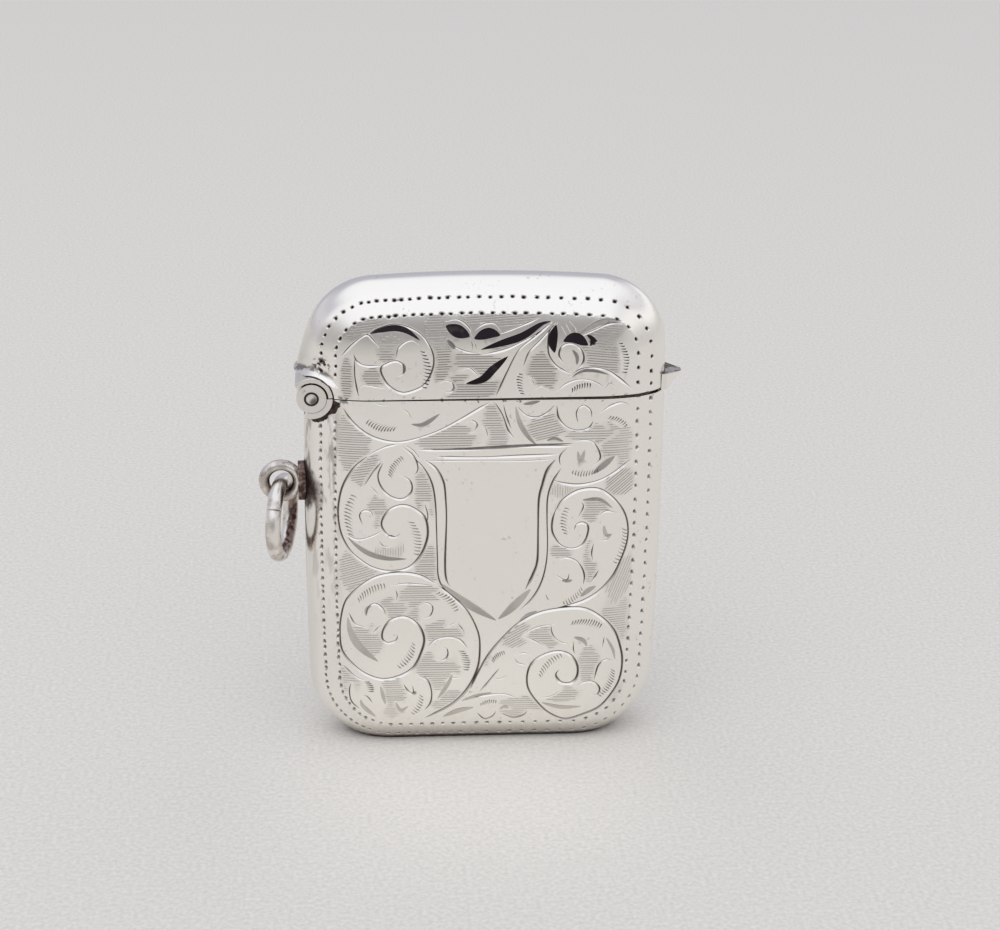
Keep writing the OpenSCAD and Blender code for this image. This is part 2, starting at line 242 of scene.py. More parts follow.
LID_DESIGN = (
    # lip over the hinge
    ridge(
        0.42, (-17, 36.8), (-16.4, 37.13), (-15.7, 37.26), (-15, 37.15), (-14.3, 36.8),
        (-13.6, 36.35), (-13.2, 36.1),
    ),
    cut(0.07, (-14.2, 36.52), (-13.85, 36.34), (-13.4, 36.1)),
    # left scroll of the lid
    cut(
        0.13, (-10.8, 41.2), (-9.5, 41.8), (-8.2, 42.1), (-6.9, 41.8), (-5.8, 41.1), (-5, 39.8),
        (-4.8, 38.7), (-5.1, 37.5), (-5.7, 36.5), (-6.6, 36), (-7.6, 35.8), (-8.6, 36.3), (-9.2, 37.1),
        (-9.5, 38.1), (-8.9, 38.6), (-8.1, 38.8), (-7.5, 38.4), (-7.5, 37.7), (-8, 37.3),
    ),
    dark_leaf(0.24, (-10.5, 41.3), (-9.5, 41.6), (-8.2, 41.8), (-7.1, 41.5), (-6, 40.7)),
    cut(0.1, (-8.1, 39), (-8, 39.9), (-7.4, 40.5), (-6.7, 40.7), (-6, 40.2)),
    leaf(0.14, (-7.6, 38.7), (-7.4, 38.2), (-7.5, 37.5)),
    ticks(9, 0.55, (-5.7, 36.1), (-5.9, 39.8)),
    # pointed leaf and stem on the left
    cut(0.13, (-13.1, 39), (-12, 40.3), (-10.8, 41.2), (-10.2, 40.8), (-9.6, 40.1)),
    cut(0.14, (-11.9, 39.5), (-11.6, 38.8), (-10.9, 38.4), (-9.4, 38.4)),
    cut(0.1, (-11.8, 39.1), (-11.8, 37.5), (-11.6, 36.1), (-11.4, 35.3)),
    cut(0.08, (-11.6, 36), (-11.2, 36.5), (-10.5, 36.5), (-9, 36.2)),
    # pair of leaves in the middle
    dark_leaf(0.5, (-3.8, 42), (-2.7, 41.5), (-1.6, 41)),
    dark_leaf(0.42, (-1.3, 40.8), (-0, 41.3), (1.1, 41.1)),
    cut(0.1, (-3.9, 42.3), (-2.7, 42.5), (-1.7, 41.8), (-1.4, 40.9)),
    cut(0.1, (-1.2, 41.5), (-0.4, 42.1), (0.6, 42.1), (1.2, 41.3)),
    cut(0.1, (-3.7, 40.9), (-2.9, 40.1), (-1.8, 39.6), (-0.6, 39.5)),
    cut(0.08, (-1.6, 40.9), (-1.4, 40.2), (-1.4, 39.6)),
    cut(0.08, (-1.2, 40.6), (-1.1, 40.1), (-0.9, 39.6)),
    leaf(0.2, (-3.7, 40.8), (-3.2, 40.3), (-2.9, 39.8)),
    # sweeping stems
    cut(0.1, (1, 41.2), (2.6, 41.8), (4.6, 42.6)),
    dark_leaf(0.3, (-0.7, 39.8), (1.2, 40.4), (3, 41), (4.6, 42), (5.6, 42.3)),
    cut(0.12, (-0.6, 39.3), (1.5, 39.8), (3.2, 40.6), (4.6, 41.4), (5.7, 42.3)),
    cut(0.1, (0.7, 35.3), (1.7, 37.7), (2.7, 39.7), (4.2, 41), (5.7, 42.2)),
    cut(0.11, (3.1, 38.1), (3.6, 39.5), (4.6, 40.6), (5.4, 41.5), (6, 42.2)),
    dark_leaf(0.32, (-2, 36.6), (-0.5, 37), (0.5, 38), (1.8, 39.2)),
    cut(0.08, (-2.4, 37.8), (-1.7, 38.1), (-1.1, 37.6), (-0.7, 37)),
    cut(0.09, (-4.3, 36.6), (-3.9, 36.9), (-3.3, 36.8), (-3, 36.3), (-3.4, 35.8), (-4.1, 36)),
    ticks(6, 0.5, (3, 37.6), (3.2, 35.5)),
    cut(0.07, (3.6, 37.2), (4, 36.8), (4.3, 36.1)),
    # right scroll of the lid
    cut(0.13, (6.2, 42.2), (5.5, 41.5), (5.3, 40.5), (5.4, 39.3), (6, 38.3), (6.7, 37.8), (7.5, 37.4)),
    dark_leaf(0.36, (6, 42), (5.7, 40.6), (5.9, 39.4)),
    dark_leaf(0.42, (6.6, 40.5), (7.7, 40.8), (8.9, 40.1)),
    cut(
        0.12, (6.8, 38.3), (6.3, 39.2), (6.5, 40), (7.2, 40.3), (8, 40), (8.5, 39.2), (8.4, 38.4),
        (7.8, 37.7),
    ),
    leaf(0.16, (7.4, 39.8), (7.9, 39.1), (7.9, 38.2)),
    cut(0.08, (6.4, 41.9), (6.8, 41.3), (7, 40.7)),
    cut(0.08, (6.8, 42.1), (7.2, 41.5), (7.5, 41)),
    cut(0.08, (7.1, 42.3), (7.7, 41.7), (7.9, 41.1)),
    leaf(0.26, (8, 41.1), (9, 41.7), (10.3, 42.2), (11.9, 42.2)),
    cut(0.1, (8.1, 40.9), (9.5, 41.5), (10.8, 42), (12.4, 41.9)),
    dark_leaf(0.18, (8.7, 41.1), (9.3, 40.6), (9, 40)),
    ticks(9, 0.5, (12.2, 37.3), (11.7, 40.3)),
    # arch over the rim
    cut(0.14, (7.3, 37.1), (8.2, 37.8), (9.5, 38), (10.7, 37.7), (11.8, 36.9), (13, 35.8)),
    leaf(0.14, (7.4, 37.1), (8.4, 37.7), (9.6, 37.7), (10.9, 37.3)),
    cut(0.09, (6.1, 35.7), (7, 36.5), (8.2, 36.9), (9.5, 36.7), (10.6, 36)),
    ticks(6, 0.45, (9.3, 36.3), (7.5, 35.8)),
    cut(0.08, (10.5, 35.9), (10.9, 36.5), (11.5, 36)),
    cut(0.07, (4.1, 35.9), (4.8, 36.3), (5.5, 35.8)),
    # hatched ground
    hatch(2, -4.4, 40.2, 0.9, 2.4),
    hatch(0, -1.4, 38.5, 2, 0.8),
    hatch(4, 1.3, 42.6, 2.6, 0.5),
    hatch(-6, 10.9, 39.9, 1.9, 1.7),
    hatch(0, -8.6, 39.8, 0.9, 0.9),
    hatch(8, -11.2, 41.8, 1.5, 0.8),
    hatch(0, 4.8, 37.5, 1, 1.4),
    hatch(0, -2.3, 36.3, 2.9, 0.8),
    hatch(0, -10.1, 37.3, 0.8, 0.6),
    hatch(60, 7.3, 41.8, 0.8, 0.5),
    hatch(0, -12.5, 37, 0.45, 1.5),
    hatch(0, 1.5, 40.1, 1, 0.8),
)

BODY_DESIGN = (
    # under the mouth
    cut(
        0.13, (-12.9, 34.4), (-12.1, 33.1), (-10.9, 32), (-9.4, 31.3), (-7.8, 31.1), (-6, 31.5),
        (-4.2, 32.2), (-2.4, 33.2), (-0.8, 34.2), (0.4, 34.9),
    ),
    leaf(0.2, (-6.9, 32.8), (-5.7, 32.8), (-4.2, 33.8)),
    cut(0.09, (-7.8, 34.4), (-7.1, 33.9), (-6.7, 33.2)),
    cut(0.08, (-10.3, 34.9), (-9.6, 34.7), (-8.9, 34.5)),
    ticks(9, 0.55, (-10.8, 33.2), (-8.2, 32.4)),
    cut(0.1, (-10.9, 29.7), (-9.2, 30.6), (-7.5, 31)),
    cut(0.09, (-7.5, 30.9), (-6.6, 30.2), (-5.9, 29.3)),
    cut(0.09, (-1.9, 32.8), (-1.4, 33.1), (-0.9, 32.7), (-1.1, 32.2), (-1.5, 31.8)),
    cut(0.08, (-0.6, 32.6), (-0.1, 32.2), (0.1, 31.4)),
    cut(0.1, (0.6, 34.9), (1.4, 33.5), (1.9, 32.1), (2.6, 31.1)),
    leaf(0.22, (2.5, 34.5), (2.9, 32.9), (3.7, 31.5), (4.6, 30.5)),
    cut(0.1, (1.4, 34.7), (1.7, 33.5), (2.2, 32.1)),
    cut(0.12, (2.6, 34.5), (3.4, 33.6), (4.4, 33.3), (5.3, 33.7), (6.1, 34.6)),
    leaf(0.16, (3.1, 34.6), (3.8, 34.7), (4.8, 34.9)),
    cut(0.12, (6.2, 34.6), (6.4, 33.3), (7.1, 32.4), (8.1, 32), (9.1, 32.2), (9.6, 33)),
    cut(0.09, (8.2, 32.6), (8, 33.8), (8.6, 34.4), (9.3, 33.9), (9.4, 33)),
    cut(0.11, (10.1, 33.6), (11, 34.3), (12.1, 34.6), (13, 34.2)),
    leaf(0.14, (5.3, 31), (6.1, 31.3), (7, 30.9)),
    cut(0.1, (7.8, 31), (9.3, 31), (10, 30.3), (10.3, 29.3), (9.7, 28.5)),
    ticks(6, 0.45, (12.6, 32.2), (10.9, 33.2)),
    # shield
    cut(0.12, (-6.3, 30.3), (-1.5, 30.3), (3, 30.5), (7.7, 30.5)),
    dark_leaf(0.14, (-5.2, 30.26), (-1, 30.38), (3.2, 30.58), (7.9, 30.76)),
    cut(0.14, (-4.6, 29.6), (-0.6, 29.5), (3, 29.6), (6.6, 29.7)),
    cut(0.06, (-5.7, 29.25), (-1.5, 29.15), (3, 29.1), (6, 29.2)),
    cut(
        0.13, (-5.7, 29.4), (-4.6, 28.5), (-3.9, 27.2), (-3.7, 25.7), (-3.6, 23.4), (-3.7, 19.3),
        (-3.6, 17.5), (-3.2, 16.5),
    ),
    cut(
        0.1, (-6.7, 29.7), (-5.6, 28.4), (-4.9, 26.9), (-4.6, 24.9), (-4.5, 22.4), (-4.4, 19.4),
        (-4.3, 17.6), (-3.7, 16.3), (-2.1, 14.9),
    ),
    leaf(0.36, (-4.1, 17), (-2.5, 15.5), (-0.7, 14.2), (1.2, 13)),
    cut(
        0.15, (6.3, 29.3), (5.5, 28.2), (5.1, 26.8), (4.8, 25.2), (4.8, 22.2), (4.8, 19.2),
        (4.4, 17.7), (3.7, 16.1),
    ),
    cut(
        0.1, (6.8, 28.4), (6, 27), (5.6, 25.4), (5.6, 23.2), (5.7, 20.7), (5.6, 18.7), (5.2, 16.9),
        (4.4, 15.3), (3.1, 13.8),
    ),
    leaf(0.36, (1.2, 13.1), (2.5, 14.3), (4.3, 16.3)),
    # left scroll with its inner turn
    cut(
        0.14, (-10.7, 29.8), (-12.1, 28.4), (-13, 26.7), (-13.4, 24.8), (-13.4, 23.3), (-13.1, 21.8),
        (-12.4, 20.4), (-11.5, 19.5), (-10.3, 18.7), (-8.8, 18.3), (-7.1, 18.6), (-6, 19.8),
        (-5.4, 21.3), (-5.3, 22.5), (-5.6, 23.7), (-6.6, 24.6), (-7.6, 24.9), (-8.6, 24.6),
        (-9.3, 23.8), (-9.5, 22.9), (-9, 22), (-8.3, 21.7), (-7.7, 22.2),
    ),
    leaf(0.24, (-12.7, 21.8), (-11.8, 20.9), (-10.6, 20.1), (-9, 19.6), (-7.1, 19.5)),
    cut(0.1, (-13, 22.1), (-11.7, 21.5), (-10.3, 21.9), (-9.3, 22.5)),
    cut(0.1, (-11.2, 22.9), (-11.5, 23.9), (-11.1, 24.4), (-10.5, 24.3), (-10.2, 23.7)),
    cut(0.09, (-9.2, 21.4), (-8.7, 21.9), (-8, 21.6)),
    cut(0.09, (-9.8, 21.5), (-9.3, 20.8), (-8.5, 20.8)),
    ticks(10, 0.6, (-11.9, 26), (-12.2, 21.8)),
    ticks(9, 0.6, (-6.4, 19.8), (-6.9, 23.3)),
    # small scroll over it
    cut(
        0.12, (-9.3, 29.2), (-9.8, 27.9), (-9.5, 26.7), (-8.7, 25.8), (-7.6, 25.5), (-6.8, 26.2),
        (-6.8, 27.1), (-7.4, 27.7), (-8, 27.8),
    ),
    cut(0.1, (-7.8, 30.8), (-6.6, 29.7), (-6.2, 28.5), (-6.6, 27.7)),
    cut(0.11, (-11.1, 26.8), (-10.3, 28.1), (-9.4, 29.3)),
    cut(0.08, (-10.9, 27), (-10.3, 26.6), (-9.6, 25.7)),
    ticks(8, 0.5, (-7.5, 29.6), (-8.7, 27.7)),
    cut(0.09, (-5.6, 25.1), (-5.3, 23.9), (-5.4, 23)),
    # left lower scroll
    cut(
        0.15, (-4.5, 16.9), (-6, 17.8), (-7.8, 18.1), (-9.9, 17.8), (-11.5, 16.8), (-12.8, 15.3),
        (-13.3, 13.4), (-13.4, 11.6), (-13.2, 10), (-12.3, 8.7), (-11.1, 7.7), (-9.5, 7.1),
        (-7.9, 7.4), (-6.6, 8.3), (-5.9, 9.8), (-5.6, 11.2), (-6, 12.5), (-6.9, 13.4), (-7.8, 13.6),
        (-8.8, 13.2), (-9.4, 12.3), (-9.5, 11.4), (-9, 10.9), (-8.2, 11.2), (-8.1, 11.9),
    ),
    leaf(0.34, (-12.7, 13.6), (-12.4, 12), (-11.6, 10.5), (-9.8, 8.9)),
    cut(0.1, (-12.6, 14.1), (-12, 12.9), (-10.9, 12.5)),
    cut(0.09, (-9.6, 12.9), (-10.5, 11.8)),
    cut(0.12, (-11, 13.6), (-10.8, 14.6), (-10.1, 15), (-9.4, 14.4), (-9.1, 13.7)),
    leaf(0.16, (-11, 13.7), (-10.9, 14.5), (-10.4, 14.8)),
    cut(0.09, (-8.8, 16.8), (-7.4, 17), (-6, 16.9), (-4.5, 16.7)),
    cut(0.08, (-8.3, 16.6), (-8.1, 15.8), (-8.3, 15.1)),
    cut(0.09, (-6, 14.6), (-5.4, 15), (-4.8, 14.5), (-5.1, 13.6), (-5.8, 13.4)),
    ticks(9, 0.6, (-9.1, 16.8), (-11.7, 15.2)),
    ticks(8, 0.6, (-8.1, 8.3), (-6.6, 10.9)),
    # sweep from the shield to the base
    cut(
        0.14, (-4.4, 16.8), (-2.8, 15.4), (-1.5, 13.9), (-0.6, 11.9), (-0.4, 10.2), (-0.6, 8.1),
        (-1.5, 6), (-3, 4.3), (-5.6, 2.7),
    ),
    ticks(7, 0.55, (-2.6, 14), (-4.5, 16)),
    cut(0.11, (-5.4, 10.3), (-4.6, 11.1), (-3.4, 11.4), (-2.3, 11.1), (-1.4, 10)),
    cut(0.1, (-4.1, 10.3), (-3.5, 10.2), (-3.4, 9.5), (-3.8, 9), (-4.5, 9)),
    cut(0.09, (-2.6, 13), (-2.1, 12.3), (-1.7, 11.6)),
    cut(0.08, (-3.6, 12.4), (-2.5, 13)),
    ticks(7, 0.55, (-1.7, 7.8), (-2.2, 10)),
    leaf(0.18, (-2.9, 7.6), (-3.4, 6.4), (-4.4, 4.8)),
    cut(0.08, (-3.5, 6.8), (-2.9, 7.1), (-2, 7)),
    # curls along the lower left corner
    cut(0.1, (-13.2, 8.6), (-12.1, 7.4), (-11, 6.9)),
    cut(0.1, (-12.4, 6.8), (-12.6, 5.8), (-12.4, 4.6), (-11.6, 3.8)),
    leaf(0.2, (-11.6, 5), (-11.3, 4.1), (-10.1, 2.9)),
    cut(0.12, (-11.5, 5.2), (-11, 5.3), (-10.4, 4.5)),
    ticks(5, 0.5, (-10.6, 5.7), (-11, 6.9)),
    leaf(0.16, (-9.7, 6.5), (-9.5, 5.5), (-9.2, 4.3)),
    cut(0.11, (-6.4, 7.5), (-5.3, 6.9), (-4.9, 5.7), (-5, 4.5), (-5.6, 3.6)),
    cut(0.1, (-7.6, 6.7), (-7.1, 5.8), (-6.6, 5.5), (-6.7, 6.5)),
    ticks(6, 0.5, (-6.8, 3.2), (-5.9, 5.4)),
    leaf(0.14, (-8.3, 4.7), (-7.8, 3.7), (-7, 4.2)),
    # sprays over the base
    leaf(0.24, (-3.9, 2.8), (-2.4, 3.5), (-0.8, 3.9)),
    leaf(0.16, (-2.2, 4.6), (-0.8, 5.1), (0.9, 5.5)),
    cut(0.09, (-0.7, 3.4), (0.1, 2.5), (0.9, 2.8), (1.3, 3.5)),
    ticks(6, 0.4, (1.3, 4.4), (-0.3, 4.1)),
    cut(0.1, (-1.1, 5), (1.6, 5.3), (3.3, 4.8)),
    cut(0.1, (1.6, 3.2), (2.8, 2.6), (3.9, 2.9), (4.2, 3.5)),
    leaf(0.14, (1.5, 3.5), (2, 3.9), (2.5, 3.6)),
    # right upper scroll
    cut(0.1, (6.7, 28.5), (6.6, 29.5), (7.3, 30.4)),
    leaf(0.2, (8.2, 30.1), (8.5, 29), (8.9, 30.2)),
    ticks(8, 0.5, (7.7, 28), (10.2, 28.2)),
    leaf(0.28, (9.6, 27.7), (10.5, 28.5), (11.7, 29.5)),
    cut(0.14, (5.9, 27.2), (7.2, 26.8), (8.6, 26.7), (10.3, 27.1), (11.9, 28), (13.2, 29.1)),
    # right scroll with its inner turn
    cut(
        0.14, (6.3, 24), (6.9, 25.1), (8.1, 26), (9.4, 26.3), (10.6, 26.1), (11.8, 25.1), (12.7, 23.8),
        (13.1, 22.4), (13.1, 20.9), (12.7, 19.4), (11.9, 17.5), (10.7, 16), (9.3, 15), (7.6, 14.4),
        (6.3, 14.1),
    ),
    cut(
        0.12, (6.4, 24.4), (6.1, 23.2), (6.1, 22.1), (6.5, 21.2), (7, 20.6), (7.9, 20.3), (8.8, 20.6),
        (9.3, 21.5), (9.4, 22.5), (8.9, 22.9), (8.3, 22.7), (8.1, 22.1),
    ),
    leaf(0.16, (8.7, 25.2), (10.4, 25.2), (11.7, 24.2)),
    cut(0.1, (10.3, 23.4), (11, 24), (12.3, 23.7)),
    cut(0.09, (8.4, 23.4), (8.9, 24.5), (8.6, 25.1)),
    leaf(0.18, (10.8, 22.7), (11.1, 21.6), (11.7, 21.7)),
    cut(0.08, (10.3, 21.1), (11.1, 21.1), (11.7, 21.7)),
    cut(0.09, (10, 21), (9.8, 19.8), (10, 18.9)),
    ticks(7, 0.5, (7.5, 24.5), (7.4, 21.7)),
    ticks(9, 0.55, (11.9, 18.6), (12.7, 22.2)),
    cut(0.1, (10.6, 18.2), (10.1, 17.3), (9.6, 16.6)),
    # small curl under it
    cut(0.11, (6.7, 19.1), (7.4, 19.4), (8.3, 19.1), (8.9, 18.4), (9.2, 17.5), (9.1, 16.5)),
    cut(0.1, (6.4, 17.8), (7, 17.3), (7.6, 17.1), (7.8, 17.9)),
    leaf(0.16, (7, 17.1), (7.6, 17), (8.2, 17.1)),
    ticks(7, 0.5, (7.2, 14.7), (9, 16.3)),
    leaf(0.22, (8.8, 15.3), (9.6, 16), (10.4, 16.5)),
    cut(0.09, (5.6, 15.8), (5.9, 15.1), (6.4, 14.7)),
    # right lower scroll
    cut(
        0.15, (-1.3, 5.8), (-0.5, 7.7), (0.4, 9.5), (1.7, 11.2), (3.3, 12.8), (5.2, 13.8), (7.5, 14.2),
        (9.4, 14.1), (11, 13.1), (12.2, 11.7), (12.8, 10.1), (13.1, 8.4), (12.9, 6.5), (12.2, 5),
        (11.1, 3.6), (9.5, 2.8), (7.8, 2.3), (6.2, 3.1), (4.9, 4.6), (4.2, 5.9), (4.1, 7.3),
        (4.5, 8.5), (5.5, 9.3), (6.9, 9.7), (8.1, 9.3), (8.8, 8.2), (8.8, 7), (8.2, 6.3), (7.3, 6.4),
        (6.8, 7.2), (7.1, 7.8),
    ),
    leaf(0.2, (3.1, 12.7), (4, 13.5), (5, 14)),
    cut(0.1, (-0.5, 5.4), (0.4, 6.6), (1.5, 8.1)),
    cut(0.09, (3.5, 11.4), (4.8, 12.2), (6.7, 12.6)),
    cut(0.09, (3.5, 11.4), (4.8, 10.8), (5.8, 10.1)),
    cut(0.08, (6.2, 12.6), (6.4, 11.5), (7.1, 10.7), (8.2, 10.4)),
    ticks(10, 0.55, (11, 12.2), (8.1, 12.6)),
    leaf(0.2, (8.3, 11.2), (9.3, 10.8), (9.7, 10.1)),
    cut(0.09, (8.4, 10.9), (8.4, 9.8), (8.7, 9.2)),
    cut(0.09, (11.3, 11.3), (11.1, 9.9)),
    leaf(0.14, (11.4, 11.1), (12.1, 9.8), (12.4, 8.5)),
    cut(0.1, (10.4, 6.4), (10.8, 8.1), (11.5, 8.7), (12.4, 8.4)),
    ticks(10, 0.6, (10.9, 4.8), (12.2, 7.6)),
    ticks(9, 0.55, (7.4, 9.3), (5.3, 7)),
    cut(0.11, (8.7, 5.8), (9.3, 6.3), (10.3, 6.4), (11, 5.7), (10.8, 5), (10.1, 5)),
    leaf(0.2, (5.4, 4.3), (7.3, 3.7), (9.4, 3.7)),
    cut(0.08, (5.1, 4.8), (6.3, 4.9), (7.3, 5.6)),
    cut(0.1, (2.9, 9.3), (3.7, 9.6), (4.4, 9.3)),
    cut(0.09, (2.8, 9.2), (3.3, 8.5), (4.3, 8.3)),
    ticks(6, 0.45, (2, 9.7), (0.8, 8.7)),
    cut(0.08, (0.6, 7.2), (1.5, 6.9), (2.4, 7.4)),
    # hatched ground
    hatch(0, -12, 31.2, 1.1, 2.2),
    hatch(10, -11, 28.6, 1.2, 1.3),
    hatch(0, -3.6, 31.5, 2, 0.9),
    hatch(0, 0.8, 32.5, 0.9, 1.9),
    hatch(14, 5.4, 32.4, 1.3, 0.9),
    hatch(0, 9.2, 31.7, 1.5, 0.7),
    hatch(0, -5.5, 26.5, 0.7, 2.6),
    hatch(0, -9.9, 24.3, 0.7, 1.1),
    hatch(20, -11.6, 18, 1.3, 1.7),
    hatch(90, -8.8, 20.6, 1.1, 0.9),
    hatch(0, -5.3, 18.6, 0.8, 1.6),
    hatch(0, -10.9, 11.2, 1.2, 1.2),
    hatch(0, -8.6, 14.5, 1, 0.8),
    hatch(0, -6, 15.1, 1.6, 1.4),
    hatch(0, -3.7, 12, 1.4, 0.8),
    hatch(0, -4.3, 8, 1.5, 1.4),
    hatch(0, -12.5, 7.5, 0.8, 1.5),
    hatch(0, -8.6, 5.2, 0.9, 1.6),
    hatch(35, 0.7, 9.2, 0.8, 2.4),
    hatch(30, 2.9, 11.6, 1.1, 0.9),
    hatch(0, 3.6, 3.7, 1.7, 0.9),
    hatch(0, -3, 4.6, 1.6, 0.8),
    hatch(90, 7.2, 26.2, 0.6, 1.1),
    hatch(0, 9.9, 24.2, 1, 0.8),
    hatch(0, 11.8, 30.6, 1, 2.2),
    hatch(0, 7, 20.1, 0.8, 0.5),
    hatch(0, 9.7, 18.9, 0.5, 1.6),
    hatch(70, 12.7, 17.2, 1.8, 0.8),
    hatch(0, 12.4, 13, 1.1, 1.8),
    hatch(0, 5.6, 11.2, 1.1, 0.9),
    hatch(0, 9.9, 8.2, 0.8, 1.4),
    hatch(0, 7.3, 5.2, 1.3, 0.6),
    hatch(0, 12.9, 4.5, 0.7, 1.2),
    hatch(40, 12.2, 26.9, 1.1, 0.9),
)


# Shapes of the engraver's strokes
PATH_STEP, CURVE_STEPS = 0.22, 12
HATCH_STEP, HATCH_PITCH, HATCH_SPREAD, HATCH_INSET = 0.12, 0.23, 1.55, 2.9
SIGHT_CELL, SIGHT_FROM, SIGHT_SIZE, SIGHT_STOPS = 0.06, (-22, -6), (740, 1000), 70
CUT_SLOPE, LEAF_SLOPE, TICK_SLOPE, HATCH_SLOPE, RIDGE_SLOPE = 0.6, 0.27, 0.36, 0.28, -1.0
CUT_BOLD, LEAF_BOLD, LEAF_SHOULDER = 1.3, 1.25, 0.8
LEAF_LEAN, RIDGE_LEAN = 0.5, -0.6
TAPER_STEPS, TAPER_POWER, WAVER, WAVES = 5, 0.8, 0.15, 9
TICK_WIDTH, TICK_BOW, TICK_CLOSE, TICK_ARCH, TICK_SLANT = 0.1, 0.1, 1.25, 0.11, 0.35
TICK_SHORT, TICK_GROWTH, TICK_LEAST, TICK_SPREAD = 0.6, 0.35, 0.85, 0.25
TICK_STOPS, TICK_SWELL = (-1, -0.5, 0.2, 1), np.array((0, 1, 0.6, 0))
HATCH_WIDTH, FINE_WIDTH = 0.06, 0.05
HATCH_LEAST, HATCH_UNEVEN, HATCH_SHIFT = 0.8, 0.3, 0.05
PIT_LONG, PIT_WIDE, PIT_DEPTH, PIT_SIDES, PIT_INNER = 0.32, 0.21, 0.17, 10, 0.94
PIT_LEAST, PIT_SPREAD, PIT_TURN, PIT_SHIFT = 0.85, 0.3, 0.5, 0.08
LEAF_GREY, HATCH_GREY, TICK_GREY, PIT_GREY, GROUND_GREY = 0.3, 0.34, 0.7, 0.8, 0.15
GROUND_REACH, GROUND_FADE = 1.15, 0.3
MOUTH_CLEAR = 0.06


def smooth_path(points, step):
    """A curve through set points, in even steps."""
    p = np.asarray(points, float)
    if len(p) > 2:
        ends = np.vstack((2 * p[0] - p[1], p, 2 * p[-1] - p[-2]))
        t = np.linspace(0, 1, CURVE_STEPS, endpoint=False)[:, None]
        runs = []
        for a, b, c, d in zip(ends, ends[1:], ends[2:], ends[3:]):
            bend = 2 * a - 5 * b + 4 * c - d
            twist = 3 * b - a - 3 * c + d
            runs.append(b + 0.5 * ((c - a) * t + bend * t ** 2 + twist * t ** 3))
        p = np.vstack((*runs, p[-1:]))
    along = np.concatenate(((0,), np.cumsum(length_of(np.diff(p, axis=0)))))
    stops = np.linspace(0, along[-1], max(4, round(along[-1] / step) + 1))
    return np.stack([np.interp(stops, along, p[:, k]) for k in (0, 1)], 1)


class Groove:
    """A stroke in the flat drawing: a path, its half width along it, a deep line between its edges,
    and how much tarnish it holds; in a dark leaf that is tarnish and painted dark reflection."""

    def __init__(self, path, widths, slope, lean, tarnish, dark=False, broad=False):
        across = left_of(unit(np.gradient(path, axis=0)))
        self.across = across if across[:, 1].sum() >= 0 else -across
        self.path, self.slope, self.lean = path, slope, lean
        self.widths = np.array(widths, float)
        self.widths[[0, -1]] = 0
        self.tarnish, self.dark, self.broad = tarnish, dark, broad

    def lines(self):
        """Its edges, its deep line and, in a broad one, lines close to the edges. They meet at the ends."""
        wide = self.widths[:, None] * self.across
        shares = (1, LEAF_SHOULDER, self.lean, -LEAF_SHOULDER, -1) if self.broad else (1, self.lean, -1)
        return [self.path + share * wide for share in shares]

    def depth_at(self, points):
        """The depth and the tarnish at each point."""
        start, run = self.path[:-1], np.diff(self.path, axis=0)
        arm = points[:, None] - start
        t = np.clip((arm * run).sum(-1) / np.maximum((run ** 2).sum(-1), 1e-12), 0, 1)
        gap = arm - t[..., None] * run
        near = length_of(gap).argmin(1)
        row = np.arange(len(points))
        t, gap = t[row, near], gap[row, near]
        wide = np.maximum(self.widths[near] * (1 - t) + self.widths[near + 1] * t, 1e-6)
        side = (gap * self.across[near]).sum(-1)
        deep_line = self.lean * wide
        share = np.where(
            side > deep_line, (wide - side) / (wide - deep_line), (side + wide) / (wide + deep_line)
        )
        share[length_of(gap) > wide * 1.001] = 0
        share = np.clip(share, 0, 1)
        depth = share * wide * self.slope
        if self.broad:
            share = np.clip((1 - np.abs(side) / wide) / (1 - LEAF_SHOULDER), 0, 1) * (share > 0)
        return depth, self.tarnish * share * np.minimum(1, wide / FINE_WIDTH)


def hash01(*seed):
    """A fixed number from 0 to 1 for a place in the drawing."""
    return math.sin(sum(s * k for s, k in zip(seed, (12.99, 78.23, 37.72)))) * 43758.5453 % 1


def strokes_of(entry):
    """The path, half widths, slope, lean and tarnish of the groove that a design entry stands for."""
    kind, width, points = entry
    path = smooth_path(points, PATH_STEP)
    if kind == "cut":
        t = np.linspace(0, 1, len(path))
        swell = np.minimum(1, np.minimum(t, 1 - t) * len(path) / TAPER_STEPS) ** TAPER_POWER
        waver = 1 - WAVER + WAVER * np.sin(WAVES * t + path[0, 0])
        return [(path, CUT_BOLD * width * swell * waver, CUT_SLOPE, 0.0, 1.0)]
    swell = np.sin(np.linspace(0, math.pi, len(path))) ** TAPER_POWER
    if kind == "ridge":
        return [(path, width * swell, RIDGE_SLOPE, RIDGE_LEAN, 0.0)]
    # A dark leaf takes full tarnish, which paints it black: tarnish and painted dark reflection.
    grey = 1.0 if kind == "dark_leaf" else LEAF_GREY
    return [(path, LEAF_BOLD * width * swell, LEAF_SLOPE, LEAF_LEAN, grey, True, True)]


def tick_strokes(entry):
    """A row of short cuts that bows to its right and is heavy on that side."""
    _, count, length, start, end = entry
    count = round(count * TICK_CLOSE)
    start, end = np.array(start), np.array(end)
    along = unit(end - start)
    across = left_of(along)
    for i in range(count):
        t = (i + 0.5) / count
        arch = 4 * t * (1 - t)
        spot = start + (end - start) * t - across * TICK_ARCH * arch * np.linalg.norm(end - start)
        uneven = TICK_LEAST + TICK_SPREAD * hash01(i, *start)
        reach = length * (TICK_SHORT + TICK_GROWTH * arch) * uneven
        slant = unit(across + TICK_SLANT * along) * reach
        path = np.stack([spot + slant * k + TICK_BOW * along * k * k for k in TICK_STOPS])
        yield path, TICK_WIDTH * TICK_SWELL, TICK_SLOPE, 0.0, TICK_GREY, True


